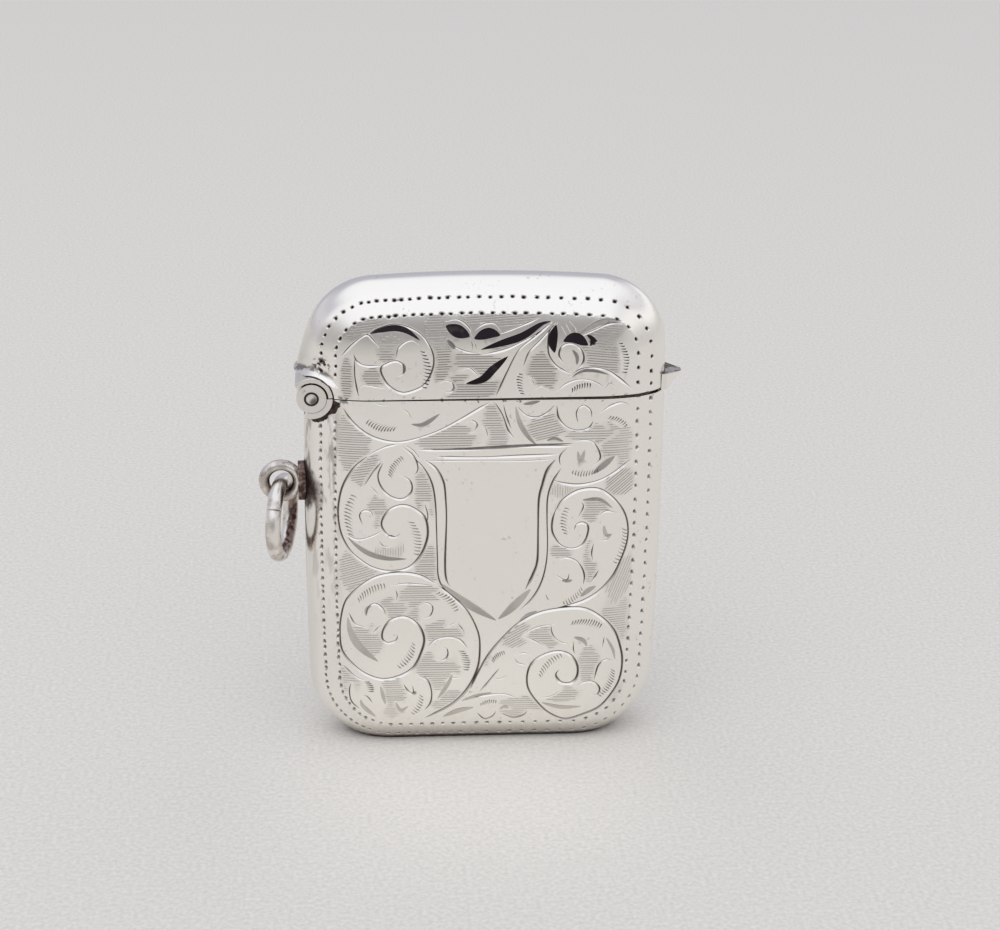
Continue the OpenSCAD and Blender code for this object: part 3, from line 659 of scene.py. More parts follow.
class Patch:
    """An oval of hatched ground, which shows as far as the strokes round it."""

    def __init__(self, entry):
        _, slope, x, z, wide, high = entry
        slope = math.radians(slope)
        self.middle = np.array((x, z))
        self.spot = laid_flat(self.middle)
        self.along = np.array((math.cos(slope), math.sin(slope)))
        self.across = left_of(self.along)
        self.wide, self.high = wide * HATCH_SPREAD, high * HATCH_SPREAD

    def lines(self):
        count = round(2 * self.high / HATCH_PITCH)
        for i in range(count):
            rise = self.high * (2 * (i + 0.5) / count - 1)
            reach = self.wide * math.sqrt(1 - (rise / self.high) ** 2)
            ends = [reach * (HATCH_LEAST + HATCH_UNEVEN * hash01(i, self.middle[0], k)) for k in (1, 2)]
            rise += HATCH_SHIFT * (hash01(i, self.middle[1]) - 0.5)
            spot = self.middle + rise * self.across
            yield smooth_path((spot - ends[0] * self.along, spot + ends[1] * self.along), HATCH_STEP)

    def share_at(self, points):
        arm = points - self.spot
        away = np.hypot(arm @ self.along / self.wide, arm @ self.across / self.high)
        return np.clip((GROUND_REACH - away) / GROUND_FADE, 0, 1)


class Sight:
    """The strokes of a design on a fine grid, to tell what lies in view of a spot."""

    def __init__(self, grooves):
        self.blocked = np.zeros(SIGHT_SIZE, bool)
        self.taken = np.zeros(SIGHT_SIZE, bool)
        for groove in grooves:
            spots = smooth_path(groove.path, SIGHT_CELL / 2)
            for shift in ((0, 0), (SIGHT_CELL, 0), (0, SIGHT_CELL)):
                self.blocked[self.cells(spots + shift)] = True

    def cells(self, points):
        cells = np.round((points - SIGHT_FROM) / SIGHT_CELL).astype(int)
        return cells[..., 0], cells[..., 1]

    def in_view(self, spot, points):
        stops = np.linspace(1, 0, SIGHT_STOPS)[:, None, None]
        arms = (points - spot) * stops
        hit = self.blocked[self.cells(spot + arms)]
        return ~(hit & (length_of(arms) > 2 * SIGHT_CELL)).any(0)

    def take(self, path):
        """Keep later hatch off a line."""
        for i in (-2, -1, 0, 1, 2):
            for k in (-2, -1, 0, 1, 2):
                self.taken[self.cells(path + np.array((i, k)) * SIGHT_CELL)] = True


def longest_run(inside):
    """The ends of the longest run of points that are inside."""
    turns = np.flatnonzero(np.diff(np.concatenate(((False,), inside, (False,)))))
    starts, ends = turns[::2], turns[1::2]
    longest = (ends - starts).argmax()
    return starts[longest], ends[longest]


def shortened(path, widths, shape, fits):
    """A groove on the part of its path that lies in one half of the case, if there is any."""
    inside = np.flatnonzero(fits(path))
    if len(inside) < 3:
        return []
    kept = slice(inside[0], inside[-1] + 1)
    return [Groove(laid_flat(path[kept]), widths[kept], *shape)]


def hatch_grooves(patch, sight, fits):
    """The lines of a patch, each on its longest run in view."""
    grooves = []
    for line in patch.lines():
        flat = laid_flat(line)
        inside = fits(line) & (from_side(line)[0] > HATCH_INSET)
        inside &= sight.in_view(patch.spot, flat) & ~sight.taken[sight.cells(flat)]
        if inside.any():
            first, last = longest_run(inside)
            path = flat[first:last:2]
            if len(path) > 2:
                widths = np.full(len(path), HATCH_WIDTH)
                grooves.append(Groove(path, widths, HATCH_SLOPE, 0.0, HATCH_GREY, True))
    for groove in grooves:
        sight.take(groove.path)
    return grooves


def grooves_of(design, fits):
    """The grooves of a design in one half of the case, and its patches of hatched ground."""
    grooves = []
    for entry in design:
        if entry[0] != "hatch":
            for path, widths, *shape in (tick_strokes if entry[0] == "ticks" else strokes_of)(entry):
                grooves += shortened(path, widths, shape, fits)
    sight = Sight(grooves)
    patches = [Patch(entry) for entry in design if entry[0] == "hatch"]
    for patch in patches:
        grooves += hatch_grooves(patch, sight, fits)
    return grooves, patches, sight


# The outline seen from the front, as points and ways out, from the middle of the base round to the top
def arc(centre, radius, start, end, step):
    count = max(2, math.ceil(abs(end - start) * radius / step))
    turn = np.linspace(start, end, count + 1)[:-1]
    out = np.stack((np.cos(turn), np.sin(turn)), 1)
    return np.hstack((centre + radius * out, out))


def right_outline(step):
    straight = np.arange(0, BASE_CORNER[0], 2 * step)
    level = np.ones_like(straight)
    return np.vstack((
        np.stack((straight, FOOT_Z * level, 0 * level, -level), 1),
        arc(BASE_CORNER, BASE_CORNER_R, -math.pi / 2, SIDE_LOW, step),
        arc(SIDE_C, SIDE_R, SIDE_LOW, SIDE_HIGH, 2 * step),
        arc(TOP_CORNER, TOP_CORNER_R, SIDE_HIGH, TOP_TURN, step),
        arc(TOP_C, TOP_R, TOP_TURN, math.pi / 2, 2 * step),
        ((0, CASE_H, 0, 1),),
    ))


def whole_outline(step):
    right = right_outline(step)
    left = right[1:-1][::-1] * (-1, 1, -1, 1)
    return np.vstack((right, left))


# The two rows of pricked dots, and the fold between the frame and the panel at the inner one
ROW_INSETS = (1.5, 2.8)
ROW_RISE, ROW_SINK = 0.04, 0.16
DOT_PITCH, PITCH_BY_X, TOP_PITCH_BY_X, PITCH_BY_Z, PITCH_Z = 1.0, 0.0156, 0.012, 0.006, 20
TOP_CLOSER, BASE_WIDER = 0.18, 0.2
ROW_STEP, ROW_CLEAR = 0.1, 0.75
FOLD_RISE, FOLD_IN, FOLD_OUT = 0.075, 2.4, 1.4
FOLD_INSET = ROW_INSETS[1]
FOLD_REACH = FACE_R * math.asin((EDGE_DEPTH - FOLD_INSET) / FACE_R)


def folded(flat, places, facing):
    """Raise the pressed skin to a slight fold along the inner row."""
    inset, out = from_side(flat)
    gap = inset - (EDGE_DEPTH - FOLD_REACH)
    run = np.where(gap > 0, FOLD_IN, FOLD_OUT)
    share = np.maximum(1 - np.abs(gap) / run, 0)
    climb = np.sign(gap) * 2 * FOLD_RISE * share / run
    sin, cos = -facing[:, 1], np.hypot(facing[:, 0], facing[:, 2])
    outwards = np.stack((sin * out[:, 0], cos, sin * out[:, 1]), 1)
    raised = places + facing * (FOLD_RISE * share ** 2)[:, None]
    return raised, unit(facing - outwards * climb[:, None])


def dot_pitch(row, out):
    """Distance from dot to dot, close on the left and wide on the upper right."""
    top, base = (np.clip(way * 8 - 7, 0, 1) for way in (out[:, 1], -out[:, 1]))
    lean = PITCH_BY_X + TOP_PITCH_BY_X * top
    rise = PITCH_BY_Z * (row[:, 1] - PITCH_Z)
    return DOT_PITCH + lean * row[:, 0] + rise - TOP_CLOSER * top + BASE_WIDER * base


class Dot:
    """A long pricked dot on the flat drawing, a little uneven as struck by hand."""

    def __init__(self, middle, out):
        size = PIT_LEAST + PIT_SPREAD * hash01(*middle)
        turn = PIT_TURN * (hash01(*middle[::-1]) - 0.5)
        along = left_of(out) * math.cos(turn) + out * math.sin(turn)
        self.middle = middle + out * PIT_SHIFT * (hash01(middle[1], middle[0], 1) - 0.5)
        self.long = along * PIT_LONG * size
        self.wide = left_of(along) * PIT_WIDE * size

    def edge(self):
        turns = 2 * math.pi * np.arange(PIT_SIDES) / PIT_SIDES
        return [self.middle + self.long * math.cos(turn) + self.wide * math.sin(turn) for turn in turns]

    def share_at(self, points):
        arm = points - self.middle
        across = arm @ self.wide / (self.wide @ self.wide)
        along = arm @ self.long / (self.long @ self.long)
        return np.clip(1 - np.hypot(along, across) / PIT_INNER, 0, 1)


def dots(fits):
    """The dots that lie in one half of the case."""
    found = []
    line = whole_outline(ROW_STEP)
    out = line[:, 2:]
    for inset in ROW_INSETS:
        depth = inset - ROW_RISE * np.maximum(out[:, 1], 0) + ROW_SINK * np.maximum(-out[:, 1], 0)
        row = line[:, :2] - out * depth[:, None]
        stride = length_of(np.diff(np.vstack((row, row[:1])), axis=0)) / dot_pitch(row, out)
        passed = np.floor(np.cumsum(stride) + 0.5)
        chosen = np.flatnonzero(np.diff(passed) > 0) + 1
        chosen = chosen[fits(row[chosen]) & ~in_notch(row[chosen], ROW_CLEAR)]
        found += [Dot(middle, way) for middle, way in zip(laid_flat(row[chosen]), out[chosen])]
    return found


def inside_loop(points, loop):
    inside = np.zeros(len(points), bool)
    x, z = points.T
    for (x0, z0), (x1, z1) in zip(loop, np.roll(loop, -1, 0)):
        if z0 != z1:
            hit = (z0 > z) != (z1 > z)
            inside ^= hit & (x < (x1 - x0) * (z - z0) / (z1 - z0) + x0)
    return inside


def ring_points(step, reaches):
    """Even points over the rolled edge, so that it stays round."""
    line = whole_outline(step)
    return np.vstack([line[:, :2] + line[:, 2:] * (reach - EDGE_DEPTH) for reach in reaches])


def face_points(step):
    """Even points over the flat face, row by row."""
    x, z = np.meshgrid(np.arange(-CASE_W / 2, CASE_W / 2, step), np.arange(0, CASE_H, step))
    x[1::2] += step / 2
    points = np.stack((x.ravel(), z.ravel()), 1)
    return points[from_side(points)[0] > EDGE_DEPTH + step / 2]


def clear_of(points, loop, margin):
    """The points inside a loop that keep off its edge."""
    points = points[inside_loop(points, loop)]
    gap = np.full(len(points), np.inf)
    for spot in loop:
        gap = np.minimum(gap, length_of(points - spot))
    return points[gap > margin]


def triangulate(loop, free, grooves=(), pits=()):
    """Triangles inside a loop that keep every groove's lines. Gives the points, the triangles
    and the number of each loop point."""
    points = [Vector(p) for p in loop]
    edges = [(i, (i + 1) % len(loop)) for i in range(len(loop))]
    points += [Vector(p) for p in free]
    for groove in grooves:
        first = len(points)
        lines = groove.lines()
        inner = len(groove.path) - 2
        points.append(Vector(groove.path[0]))
        for line in lines:
            at = len(points)
            points += [Vector(p) for p in line[1:-1]]
            chain = [first, *range(at, at + inner), first + 1 + len(lines) * inner]
            edges += zip(chain, chain[1:])
        points.append(Vector(groove.path[-1]))
    for dot in pits:
        at = len(points)
        points += [Vector(p) for p in (dot.middle, *dot.edge())]
        edges += [(at + 1 + k, at + 1 + (k + 1) % PIT_SIDES) for k in range(PIT_SIDES)]
    found, _, faces, origins, _, _ = delaunay_2d_cdt(points, edges, [], 0, 1e-5)
    flat = np.array([tuple(p) for p in found])
    triangles = np.array(faces)
    keep = inside_loop(flat[triangles].mean(1), np.asarray(loop))
    place = {origin: i for i, group in enumerate(origins) for origin in group}
    return flat, triangles[keep], [place[i] for i in range(len(loop))]


def depths(flat, grooves, pits, patches, sight):
    """How deep the engraving goes at each point of the drawing, and how much tarnish the cuts and
    the leaves hold there, with painted dark reflection in the dark leaves."""
    deep = np.zeros(len(flat))
    tarnish = np.zeros((len(flat), 2))
    for groove in grooves:
        margin = groove.widths.max() + 0.01
        near = ((flat > groove.path.min(0) - margin) & (flat < groove.path.max(0) + margin)).all(1)
        spots = np.flatnonzero(near)
        if len(spots):
            depth, held = groove.depth_at(flat[spots])
            deep[spots] = np.where(np.abs(depth) > np.abs(deep[spots]), depth, deep[spots])
            kind = int(groove.dark)
            tarnish[spots, kind] = np.maximum(tarnish[spots, kind], held)
    for dot in pits:
        share = dot.share_at(flat)
        deep = np.where(share > 0, np.maximum(deep, PIT_DEPTH * share), deep)
        tarnish[:, 1] = np.maximum(tarnish[:, 1], PIT_GREY * share)
    for patch in patches:
        share = patch.share_at(flat) * (from_side(flat)[0] > EDGE_DEPTH - FOLD_REACH)
        spots = np.flatnonzero(share)
        seen = spots[sight.in_view(patch.spot, flat[spots])]
        tarnish[seen, 1] = np.maximum(tarnish[seen, 1], GROUND_GREY * share[seen])
    return deep, tarnish


# Edges of the two halves of the case
OUTLINE_STEP, OUTLINE_CLEAR = 0.3, 0.05
ROLL_STEP = 0.3
ROLL = np.linspace(FACE_ARC + EDGE_ARC, 0, round((FACE_ARC + EDGE_ARC) / ROLL_STEP) + 1)
FACE_STEP = 1.0
NOTCH_STEPS, NOTCH_CLEAR = 26, 0.1
SKIN_STEP, PANEL_STEP, SKIN_CLEAR = 0.45, 0.6, 0.12
FOLD_STEP, FOLD_HALF = 0.3, 0.05
INSIDE_STEP, INSIDE_CLEAR = 1.2, 0.3
CORNER_STATIONS, STRAIGHT_STATIONS = 14, 17
CRISP_ANGLE = math.radians(16)
SMALL = 1e-4


def rim_z(x):
    """The lid's rim, which stands off a little more towards the thumbpiece."""
    return RIM_Z + MOUTH_LIFT * np.clip((np.asarray(x) + MOUTH_REACH) / (2 * MOUTH_REACH), 0, 1)


def mouth_line(z, left, right):
    """Places along a mouth, close together over the rolled edge on the right."""
    turn = section_turn(ROLL)
    inwards = np.where(turn < LEAN, EDGE_R * (1 - np.cos(turn)), EDGE_DEPTH - FACE_R * np.cos(turn))
    rolled = right - np.maximum(inwards, 0)
    start = rolled[-1]
    flat = np.linspace(start, left, round((start - left) / FACE_STEP) + 1)[1:]
    x = np.concatenate((rolled, flat))
    return np.stack((x, np.full_like(x, z)), 1)


def notch_line(z, way):
    """The round notch from the mouth to the outline, below the hinge or above it."""
    start = math.asin((z - HINGE[1]) / NOTCH_R)
    low, high = 0.0, math.pi
    for _ in range(50):
        middle = (low + high) / 2
        spot = HINGE + NOTCH_R * np.array((math.cos(middle), way * math.sin(middle)))
        low, high = (middle, high) if from_side(spot[None])[0][0] > 0 else (low, middle)
    turn = np.linspace(abs(start), low, NOTCH_STEPS + 1)
    return HINGE + NOTCH_R * np.stack((np.cos(turn), way * np.sin(turn)), 1)


def in_notch(points, margin):
    return length_of(points - HINGE) < NOTCH_R + margin


def fits_body(points):
    return (points[:, 1] < SPLIT_Z - MOUTH_CLEAR) & ~in_notch(points, NOTCH_CLEAR)


def fits_lid(points):
    return (points[:, 1] > rim_z(points[:, 0]) + MOUTH_CLEAR) & ~in_notch(points, NOTCH_CLEAR)


class Half:
    """One half of the case, front or back: an engraved skin, a plain inside and the edges between."""

    def __init__(self):
        self.places, self.facing, self.tarnish = [], [], []
        self.faces, self.finish = [], []
        self.count = 0

    def add_points(self, places, facing, tarnish):
        first = self.count
        self.places.append(places)
        self.facing.append(facing)
        self.tarnish.append(tarnish)
        self.count += len(places)
        return first

    def add_face(self, face, finish):
        self.faces.append(face)
        self.finish.append(finish)

    def bridge(self, chain_a, chain_b):
        """A strip between two chains of points, of which neighbours may coincide."""
        for a0, a1, b0, b1 in zip(chain_a, chain_a[1:], chain_b, chain_b[1:]):
            face = list(dict.fromkeys((a1, a0, b0, b1)))
            if len(face) > 2:
                self.add_face(tuple(face), "edge")


def swell_by_hinge(places, facing):
    """Push the lid's side out a little over the hinge."""

    def push(x, z):
        inset, _ = from_side(np.stack((x, z), 1))
        near = np.clip((SWELL_TOP - z) / SWELL_RUN, 0, 1)
        side = np.clip(1 - inset / SWELL_DEPTH, 0, 1)
        return np.where(x < 0, -SWELL * near ** 2 * (3 - 2 * near) * side ** 2, 0)

    x, z = places[:, 0], places[:, 2]
    step = 0.01
    lean_x = (push(x + step, z) - push(x - step, z)) / (2 * step)
    lean_z = (push(x, z + step) - push(x, z - step)) / (2 * step)
    moved = places.copy()
    moved[:, 0] += push(x, z)
    turned = facing.copy()
    turned[:, 0] -= facing[:, 0] * lean_x
    turned[:, 2] -= facing[:, 0] * lean_z
    return moved, unit(turned)


def build_half(loop_out, loop_in, kinds, design, fits, floor_z):
    """The engraved outside and the plain inside of one half, joined at their edges."""
    half = Half()
    grooves, patches, sight = grooves_of(design, fits)
    pits = dots(fits)
    flat_out = laid_flat(loop_out)
    rings = ring_points(SKIN_STEP, ROLL[1:])
    fold = ring_points(FOLD_STEP, (FOLD_REACH - FOLD_HALF, FOLD_REACH + FOLD_HALF))
    free = clear_of(np.vstack((rings, fold, face_points(PANEL_STEP))), flat_out, SKIN_CLEAR)
    flat, triangles, rim_out = triangulate(flat_out, free, grooves, pits)
    deep, tarnish = depths(flat, grooves, pits, patches, sight)
    places, facing = folded(flat, *pressed(flat))
    places = places - facing * deep[:, None]
    first = half.add_points(places, facing, tarnish)
    touched = np.abs(deep[triangles]).max(1) > SMALL
    for triangle, is_cut in zip(triangles.tolist(), touched):
        half.add_face(tuple(triangle), "cut" if is_cut else "outside")
    rim_out = np.array(rim_out) + first

    flat_in = laid_flat(loop_in)
    free = clear_of(ring_points(INSIDE_STEP, ROLL[2::3]), flat_in, INSIDE_CLEAR)
    flat, triangles, rim_in = triangulate(flat_in, free)
    places, facing = pressed(flat, WALL)
    places[:, 2] = np.maximum(places[:, 2], floor_z)
    for spot, kind, (_, z) in zip(rim_in, kinds, loop_in):
        if kind == "mouth":
            places[spot, 2] = z
        if kind == "notch":
            arm = places[spot, [0, 2]] - HINGE
            places[spot, [0, 2]] = HINGE + unit(arm) * NOTCH_R
    first = half.add_points(places, -facing, np.zeros((len(flat), 2)))
    for triangle in triangles[:, ::-1].tolist():
        half.add_face(tuple(i + first for i in triangle), "inside")
    rim_in = np.array(rim_in) + first
    close_edges(half, rim_out, rim_in, kinds)
    return half, rim_out, rim_in


def close_edges(half, rim_out, rim_in, kinds):
    """Faces between the outside and the inside, round the mouth, the notch and the seam."""
    count = len(kinds)
    for i in range(count):
        j = (i + 1) % count
        if not (kinds[i] == "base" and kinds[j] == "base"):
            half.bridge((rim_out[i], rim_out[j]), (rim_in[i], rim_in[j]))


def close_base(half, rim_out, rim_in, kinds):
    """The flat base with the pocket for the striker, out to the seam in the middle."""
    base = [i for i, kind in enumerate(kinds) if kind == "base"]
    places = np.vstack(half.places)
    known = {tuple(np.round(places[i], 6)): i for i in (*rim_out[base], *rim_in[base])}
    down = np.array(((0.0, 0.0, -1.0),))

    def spot(*place):
        key = tuple(np.round(place, 6))
        if key not in known:
            known[key] = half.add_points(np.array((place,)), down, np.zeros((1, 2)))
        return known[key]

    rows = []
    for i in base:
        x, y, _ = places[rim_out[i]]
        steps = [False, True] if abs(abs(x) - POCKET_L / 2) < SMALL else [abs(x) < POCKET_L / 2]
        for pocketed in steps if x < 0 else steps[::-1]:
            side = max(y, -POCKET_W / 2)
            roof = POCKET_DEPTH if pocketed else 0.0
            rows.append((rim_out[i], spot(x, side, 0), spot(x, side, roof), spot(x, 0, roof), rim_in[i]))
    for row, following in zip(rows, rows[1:]):
        for k in range(len(row) - 1):
            half.bridge((row[k], following[k]), (row[k + 1], following[k + 1]))


def mesh_of(half, name, front):
    """A mesh of one half, mirrored for the back. Plain skin is smooth and the cuts stay crisp."""
    side = np.array((1, 1 if front else -1, 1))
    mesh = bpy.data.meshes.new(name)
    places = np.vstack(half.places) * side * MM
    faces = half.faces if front else [face[::-1] for face in half.faces]
    mesh.from_pydata(places, [], faces)
    mesh.shade_smooth()
    mesh.set_sharp_from_angle(angle=CRISP_ANGLE)
    normals = np.zeros(len(mesh.loops) * 3, np.float32)
    mesh.corner_normals.foreach_get("vector", normals)
    normals = normals.reshape(-1, 3)
    corners = np.zeros(len(mesh.loops), np.int32)
    mesh.loops.foreach_get("vertex_index", corners)
    sizes = [len(face) for face in faces]
    smooth = np.repeat([finish in ("outside", "inside") for finish in half.finish], sizes)
    facing = np.vstack(half.facing) * side
    normals[smooth] = facing[corners[smooth]]
    mesh.normals_split_custom_set(normals.tolist())
    for kind, values in zip(("engraved", "shaded"), np.vstack(half.tarnish).T):
        layer = mesh.attributes.new(kind, "FLOAT", "POINT")
        layer.data.foreach_set("value", values.astype(np.float32))
    return mesh


def outline_between(low, high):
    """The right side of the outline between two heights, with exact ends."""
    line = right_outline(OUTLINE_STEP)[:, :2]
    between = (line[:, 1] > low + OUTLINE_CLEAR) & (line[:, 1] < high - OUTLINE_CLEAR)
    line = line[between & (line[:, 0] > BASE_CORNER[0])]
    return np.vstack(((outline_x(low), low), line, (outline_x(high), high)))


def outline_x(z):
    if z < BASE_CORNER[1]:
        return BASE_CORNER[0] + math.sqrt(BASE_CORNER_R ** 2 - (z - BASE_CORNER[1]) ** 2)
    return side_x(z)


def mirror_x(line):
    return line[::-1] * (-1, 1)


def base_lines():
    """The edge of the flat base, and the same stations on the outline below it."""
    first = math.asin(-BASE_CORNER[1] / BASE_CORNER_R)
    pocket = -math.atan2(BASE_CORNER[1], POCKET_L / 2 - BASE_CORNER[0])
    turn = np.concatenate((np.linspace(first, pocket, CORNER_STATIONS), (-math.pi / 2,)))
    out = np.stack((np.cos(turn), np.sin(turn)), 1)
    below = BASE_CORNER + BASE_CORNER_R * out
    edge = below - out * (below[:, 1] / out[:, 1])[:, None]
    straight = np.linspace(BASE_CORNER[0], -BASE_CORNER[0], STRAIGHT_STATIONS)[1:-1]
    level = np.ones_like(straight)
    edge = np.vstack((edge, np.stack((straight, 0 * level), 1), mirror_x(edge)))
    below = np.vstack((below, np.stack((straight, FOOT_Z * level), 1), mirror_x(below)))
    return edge[::-1], below[::-1]


def join_lines(*named):
    """One loop from lines that share their ends, with the kind of each point."""
    points, kinds = [], []
    for kind, line in named:
        points.append(line[:-1])
        kinds += [kind] * (len(line) - 1)
    return np.vstack(points), kinds


def body_half():
    edge, below = base_lines()
    right = outline_between(0, SPLIT_Z)
    notch = notch_line(SPLIT_Z, -1)
    mouth = mouth_line(SPLIT_Z, notch[0, 0], right[-1, 0])
    left = mirror_x(outline_between(0, notch[-1, 1]))
    rest = (("seam", right), ("mouth", mouth), ("notch", notch), ("seam", left))
    loop, kinds = join_lines(("base", edge), *rest)
    inner, _ = join_lines(("base", below), *rest)
    kinds[len(edge) - 1] = "base"
    half, rim_out, rim_in = build_half(loop, inner, kinds, BODY_DESIGN, fits_body, BASE_WALL)
    close_base(half, rim_out, rim_in, kinds)
    return half


def lid_half():
    notch = notch_line(RIM_Z, 1)
    right_z = RIM_Z + MOUTH_LIFT
    right_rim = np.array((side_x(right_z), right_z))
    mouth = mouth_line(RIM_Z, notch[0, 0], right_rim[0])[::-1]
    mouth[:, 1] = rim_z(mouth[:, 0])
    line = right_outline(OUTLINE_STEP)[:, :2]
    right = np.vstack((right_rim, line[line[:, 1] > right_z + OUTLINE_CLEAR]))
    left = mirror_x(right[:-1])
    left = np.vstack((left[left[:, 1] > notch[-1, 1] + OUTLINE_CLEAR], notch[-1]))
    loop, kinds = join_lines(
        ("mouth", mouth), ("seam", np.vstack((right, left[:1]))), ("seam", left), ("notch", notch[::-1])
    )
    half, _, _ = build_half(loop, loop, kinds, LID_DESIGN, fits_lid, RIM_Z)
    skins = [swell_by_hinge(*skin) for skin in zip(half.places, half.facing)]
    half.places, half.facing = zip(*skins)
    return half


def add_piece(mesh, body, slot, *nodes):
    piece = put(mesh.name, mesh)
    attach(piece, body)
    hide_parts(*nodes)


# Finishes. Sums on sockets are written as plain expressions.
class Socket:
    """An output of a shader node that takes part in sums."""

    def __init__(self, finish, output):
        self.finish = finish
        self.output = output

    def sum(self, operation, first, second):
        return self.finish.node("ShaderNodeMath", {"operation": operation}, {0: first, 1: second})

    def __add__(self, other):
        return self.sum("ADD", self, other)

    __radd__ = __add__

    def __sub__(self, other):
        return self.sum("SUBTRACT", self, other)

    def __rsub__(self, other):
        return self.sum("SUBTRACT", other, self)

    def __mul__(self, other):
        return self.sum("MULTIPLY", self, other)

    __rmul__ = __mul__

    def __pow__(self, other):
        return self.sum("POWER", self, other)


class Finish:
    """A material or world whose nodes are added one by one."""

    def __init__(self, owner):
        owner.use_nodes = True
        self.tree = owner.node_tree
        self.tree.nodes.clear()

    def node(self, kind, settings=None, inputs=None, output=0):
        made = self.tree.nodes.new(kind)
        for name, value in (settings or {}).items():
            if name == "stops":
                stops = made.color_ramp.elements
                while len(stops) < len(value):
                    stops.new(0.5)
                for stop, (place, colour) in zip(stops, value):
                    stop.position = place
                    stop.color = (*colour, 1)
            else:
                setattr(made, name, value)
        for name, value in (inputs or {}).items():
            if isinstance(value, Socket):
                self.tree.links.new(value.output, made.inputs[name])
            else:
                made.inputs[name].default_value = value
        return Socket(self, made.outputs[output]) if made.outputs else made

    def steps(self, value, low, high):
        """0 below low, 1 above high and smooth between."""
        return self.node(
            "ShaderNodeMapRange", {"interpolation_type": "SMOOTHSTEP"}, {0: value, 1: low, 2: high}
        )

    def fade(self, value, low, high):
        """1 below low, 0 above high and smooth between."""
        return 1 - self.steps(value, low, high)

    def most(self, first, *others):
        """The largest of some values."""
        for other in others:
            first = self.node("ShaderNodeMath", {"operation": "MAXIMUM"}, {0: first, 1: other})
        return first

    def gap(self, first, second):
        """How far two values lie apart."""
        return self.node("ShaderNodeMath", {"operation": "ABSOLUTE"}, {0: first - second})

    def blend(self, share, first, second):
        """A colour that goes from the first to the second with the share."""
        return self.node("ShaderNodeMix", {"data_type": "RGBA"}, {0: share, 6: first, 7: second}, 2)

    def parts(self, vector):
        """The three parts of a vector."""
        return [self.node("ShaderNodeSeparateXYZ", None, {0: vector}, k) for k in range(3)]

    def place(self):
        """Where each spot of the piece lies, in millimetres."""
        return [part * (1 / MM) for part in self.parts(self.node("ShaderNodeTexCoord", output=3))]

    def noise(self, scale, detail=2.0, stretch=None):
        """Noise over the piece, with the scale in waves to a millimetre."""
        place = self.node("ShaderNodeTexCoord", output=3)
        if stretch:
            place = self.node("ShaderNodeVectorMath", {"operation": "MULTIPLY"}, {0: place, 1: stretch})
        inputs = {"Vector": place, "Scale": scale / MM, "Detail": detail}
        return self.node("ShaderNodeTexNoise", None, inputs)


SILVER = (0.965, 0.94, 0.885, 1)
WORN_SILVER = (0.86, 0.83, 0.78, 1)
# Brown, red-brown and dark colours for tarnish, which also carry painted shade and painted dark reflection.
BROWN_TARNISH_AND_SHADE = (0.15, 0.1, 0.068, 1)
RED_TARNISH_AND_SHADE = (0.2, 0.1, 0.07, 1)
DARK_TARNISH_AND_SHADE = (0.03, 0.025, 0.03, 1)
EYE = np.array((-18.61, 0, 25.9))
EYE_FOOT = np.array((-16.3, 0, 25.9))
RING = np.array((-18.61, 0, 22.22))
RING_AXIS = (0.976, -0.216)
EYE_INSIDE, EYE_FOOT_FROM, RING_INSIDE = (1.1, 1.6), (-17.15, -16.95), (3.05, 3.6)
PIN_R = 0.53


class Silver(Finish):
    """Polished silver with tarnish, hairline scratches and a hand-worked surface."""

    def __init__(self, name):
        self.material = bpy.data.materials.new(name)
        super().__init__(self.material)
        self.x, self.y, self.z = self.place()

    def layer(self, name):
        """The values that a mesh carries under a name."""
        return self.node("ShaderNodeAttribute", {"attribute_name": name}, output=2)

    def rise(self):
        """How far the surface faces up."""
        return self.parts(self.node("ShaderNodeNewGeometry", output=1))[2]

    def away(self, x, z, y=None):
        """How far each spot lies from a point, or from a line through it from front to back."""
        square = (self.x - x) ** 2.0 + (self.z - z) ** 2.0
        if y is not None:
            square = square + (self.y - y) ** 2.0
        return square ** 0.5

    def specks(self):
        return self.steps(self.noise(0.35, 4), 0.5, 0.7) * self.steps(self.noise(2.6, 3), 0.6, 0.72)

    def done(self, metal, brown, dark, gloss, tarnish=BROWN_TARNISH_AND_SHADE):
        """Lay the brown and the dark on the metal, as tarnish and as the painted shade that callers give,
        and finish its surface.
        """
        colour = self.blend(brown, metal, tarnish)
        colour = self.blend(dark, colour, DARK_TARNISH_AND_SHADE)
        hairlines = self.noise(3.0, 2, (0.15, 1.0, 1.0))
        rough = gloss + 0.06 * self.noise(0.5, 3) + 0.05 * hairlines + 0.22 * brown
        height = self.noise(0.16, 1) * 0.02 + hairlines * 0.0006 + self.noise(1.4, 2) * 0.0015
        bump = self.node("ShaderNodeBump", None, {"Height": height, "Strength": 1.0, "Distance": MM})
        shader = self.node("ShaderNodeBsdfPrincipled", None, {
            "Base Color": colour, "Metallic": 1.0, "Roughness": rough, "Normal": bump,
        })
        self.node("ShaderNodeOutputMaterial", None, {"Surface": shader})
        return self.material


# Stains, painted shade and painted shadow on the engraved sheet: where they start to fade and where they
# end, in millimetres
HINGE_STAIN, HINGE_STAIN_BELOW, HINGE_WAVER = (1.98, 2.06), (0.4, 0.45), 1.1
BLOT, BLOT_STAIN = (-14.75, 38.05), (0.4, 1.0)
FOOT_SHADE_AND_STAIN, FOOT_WAVER = (2.0, 3.0), 1.2
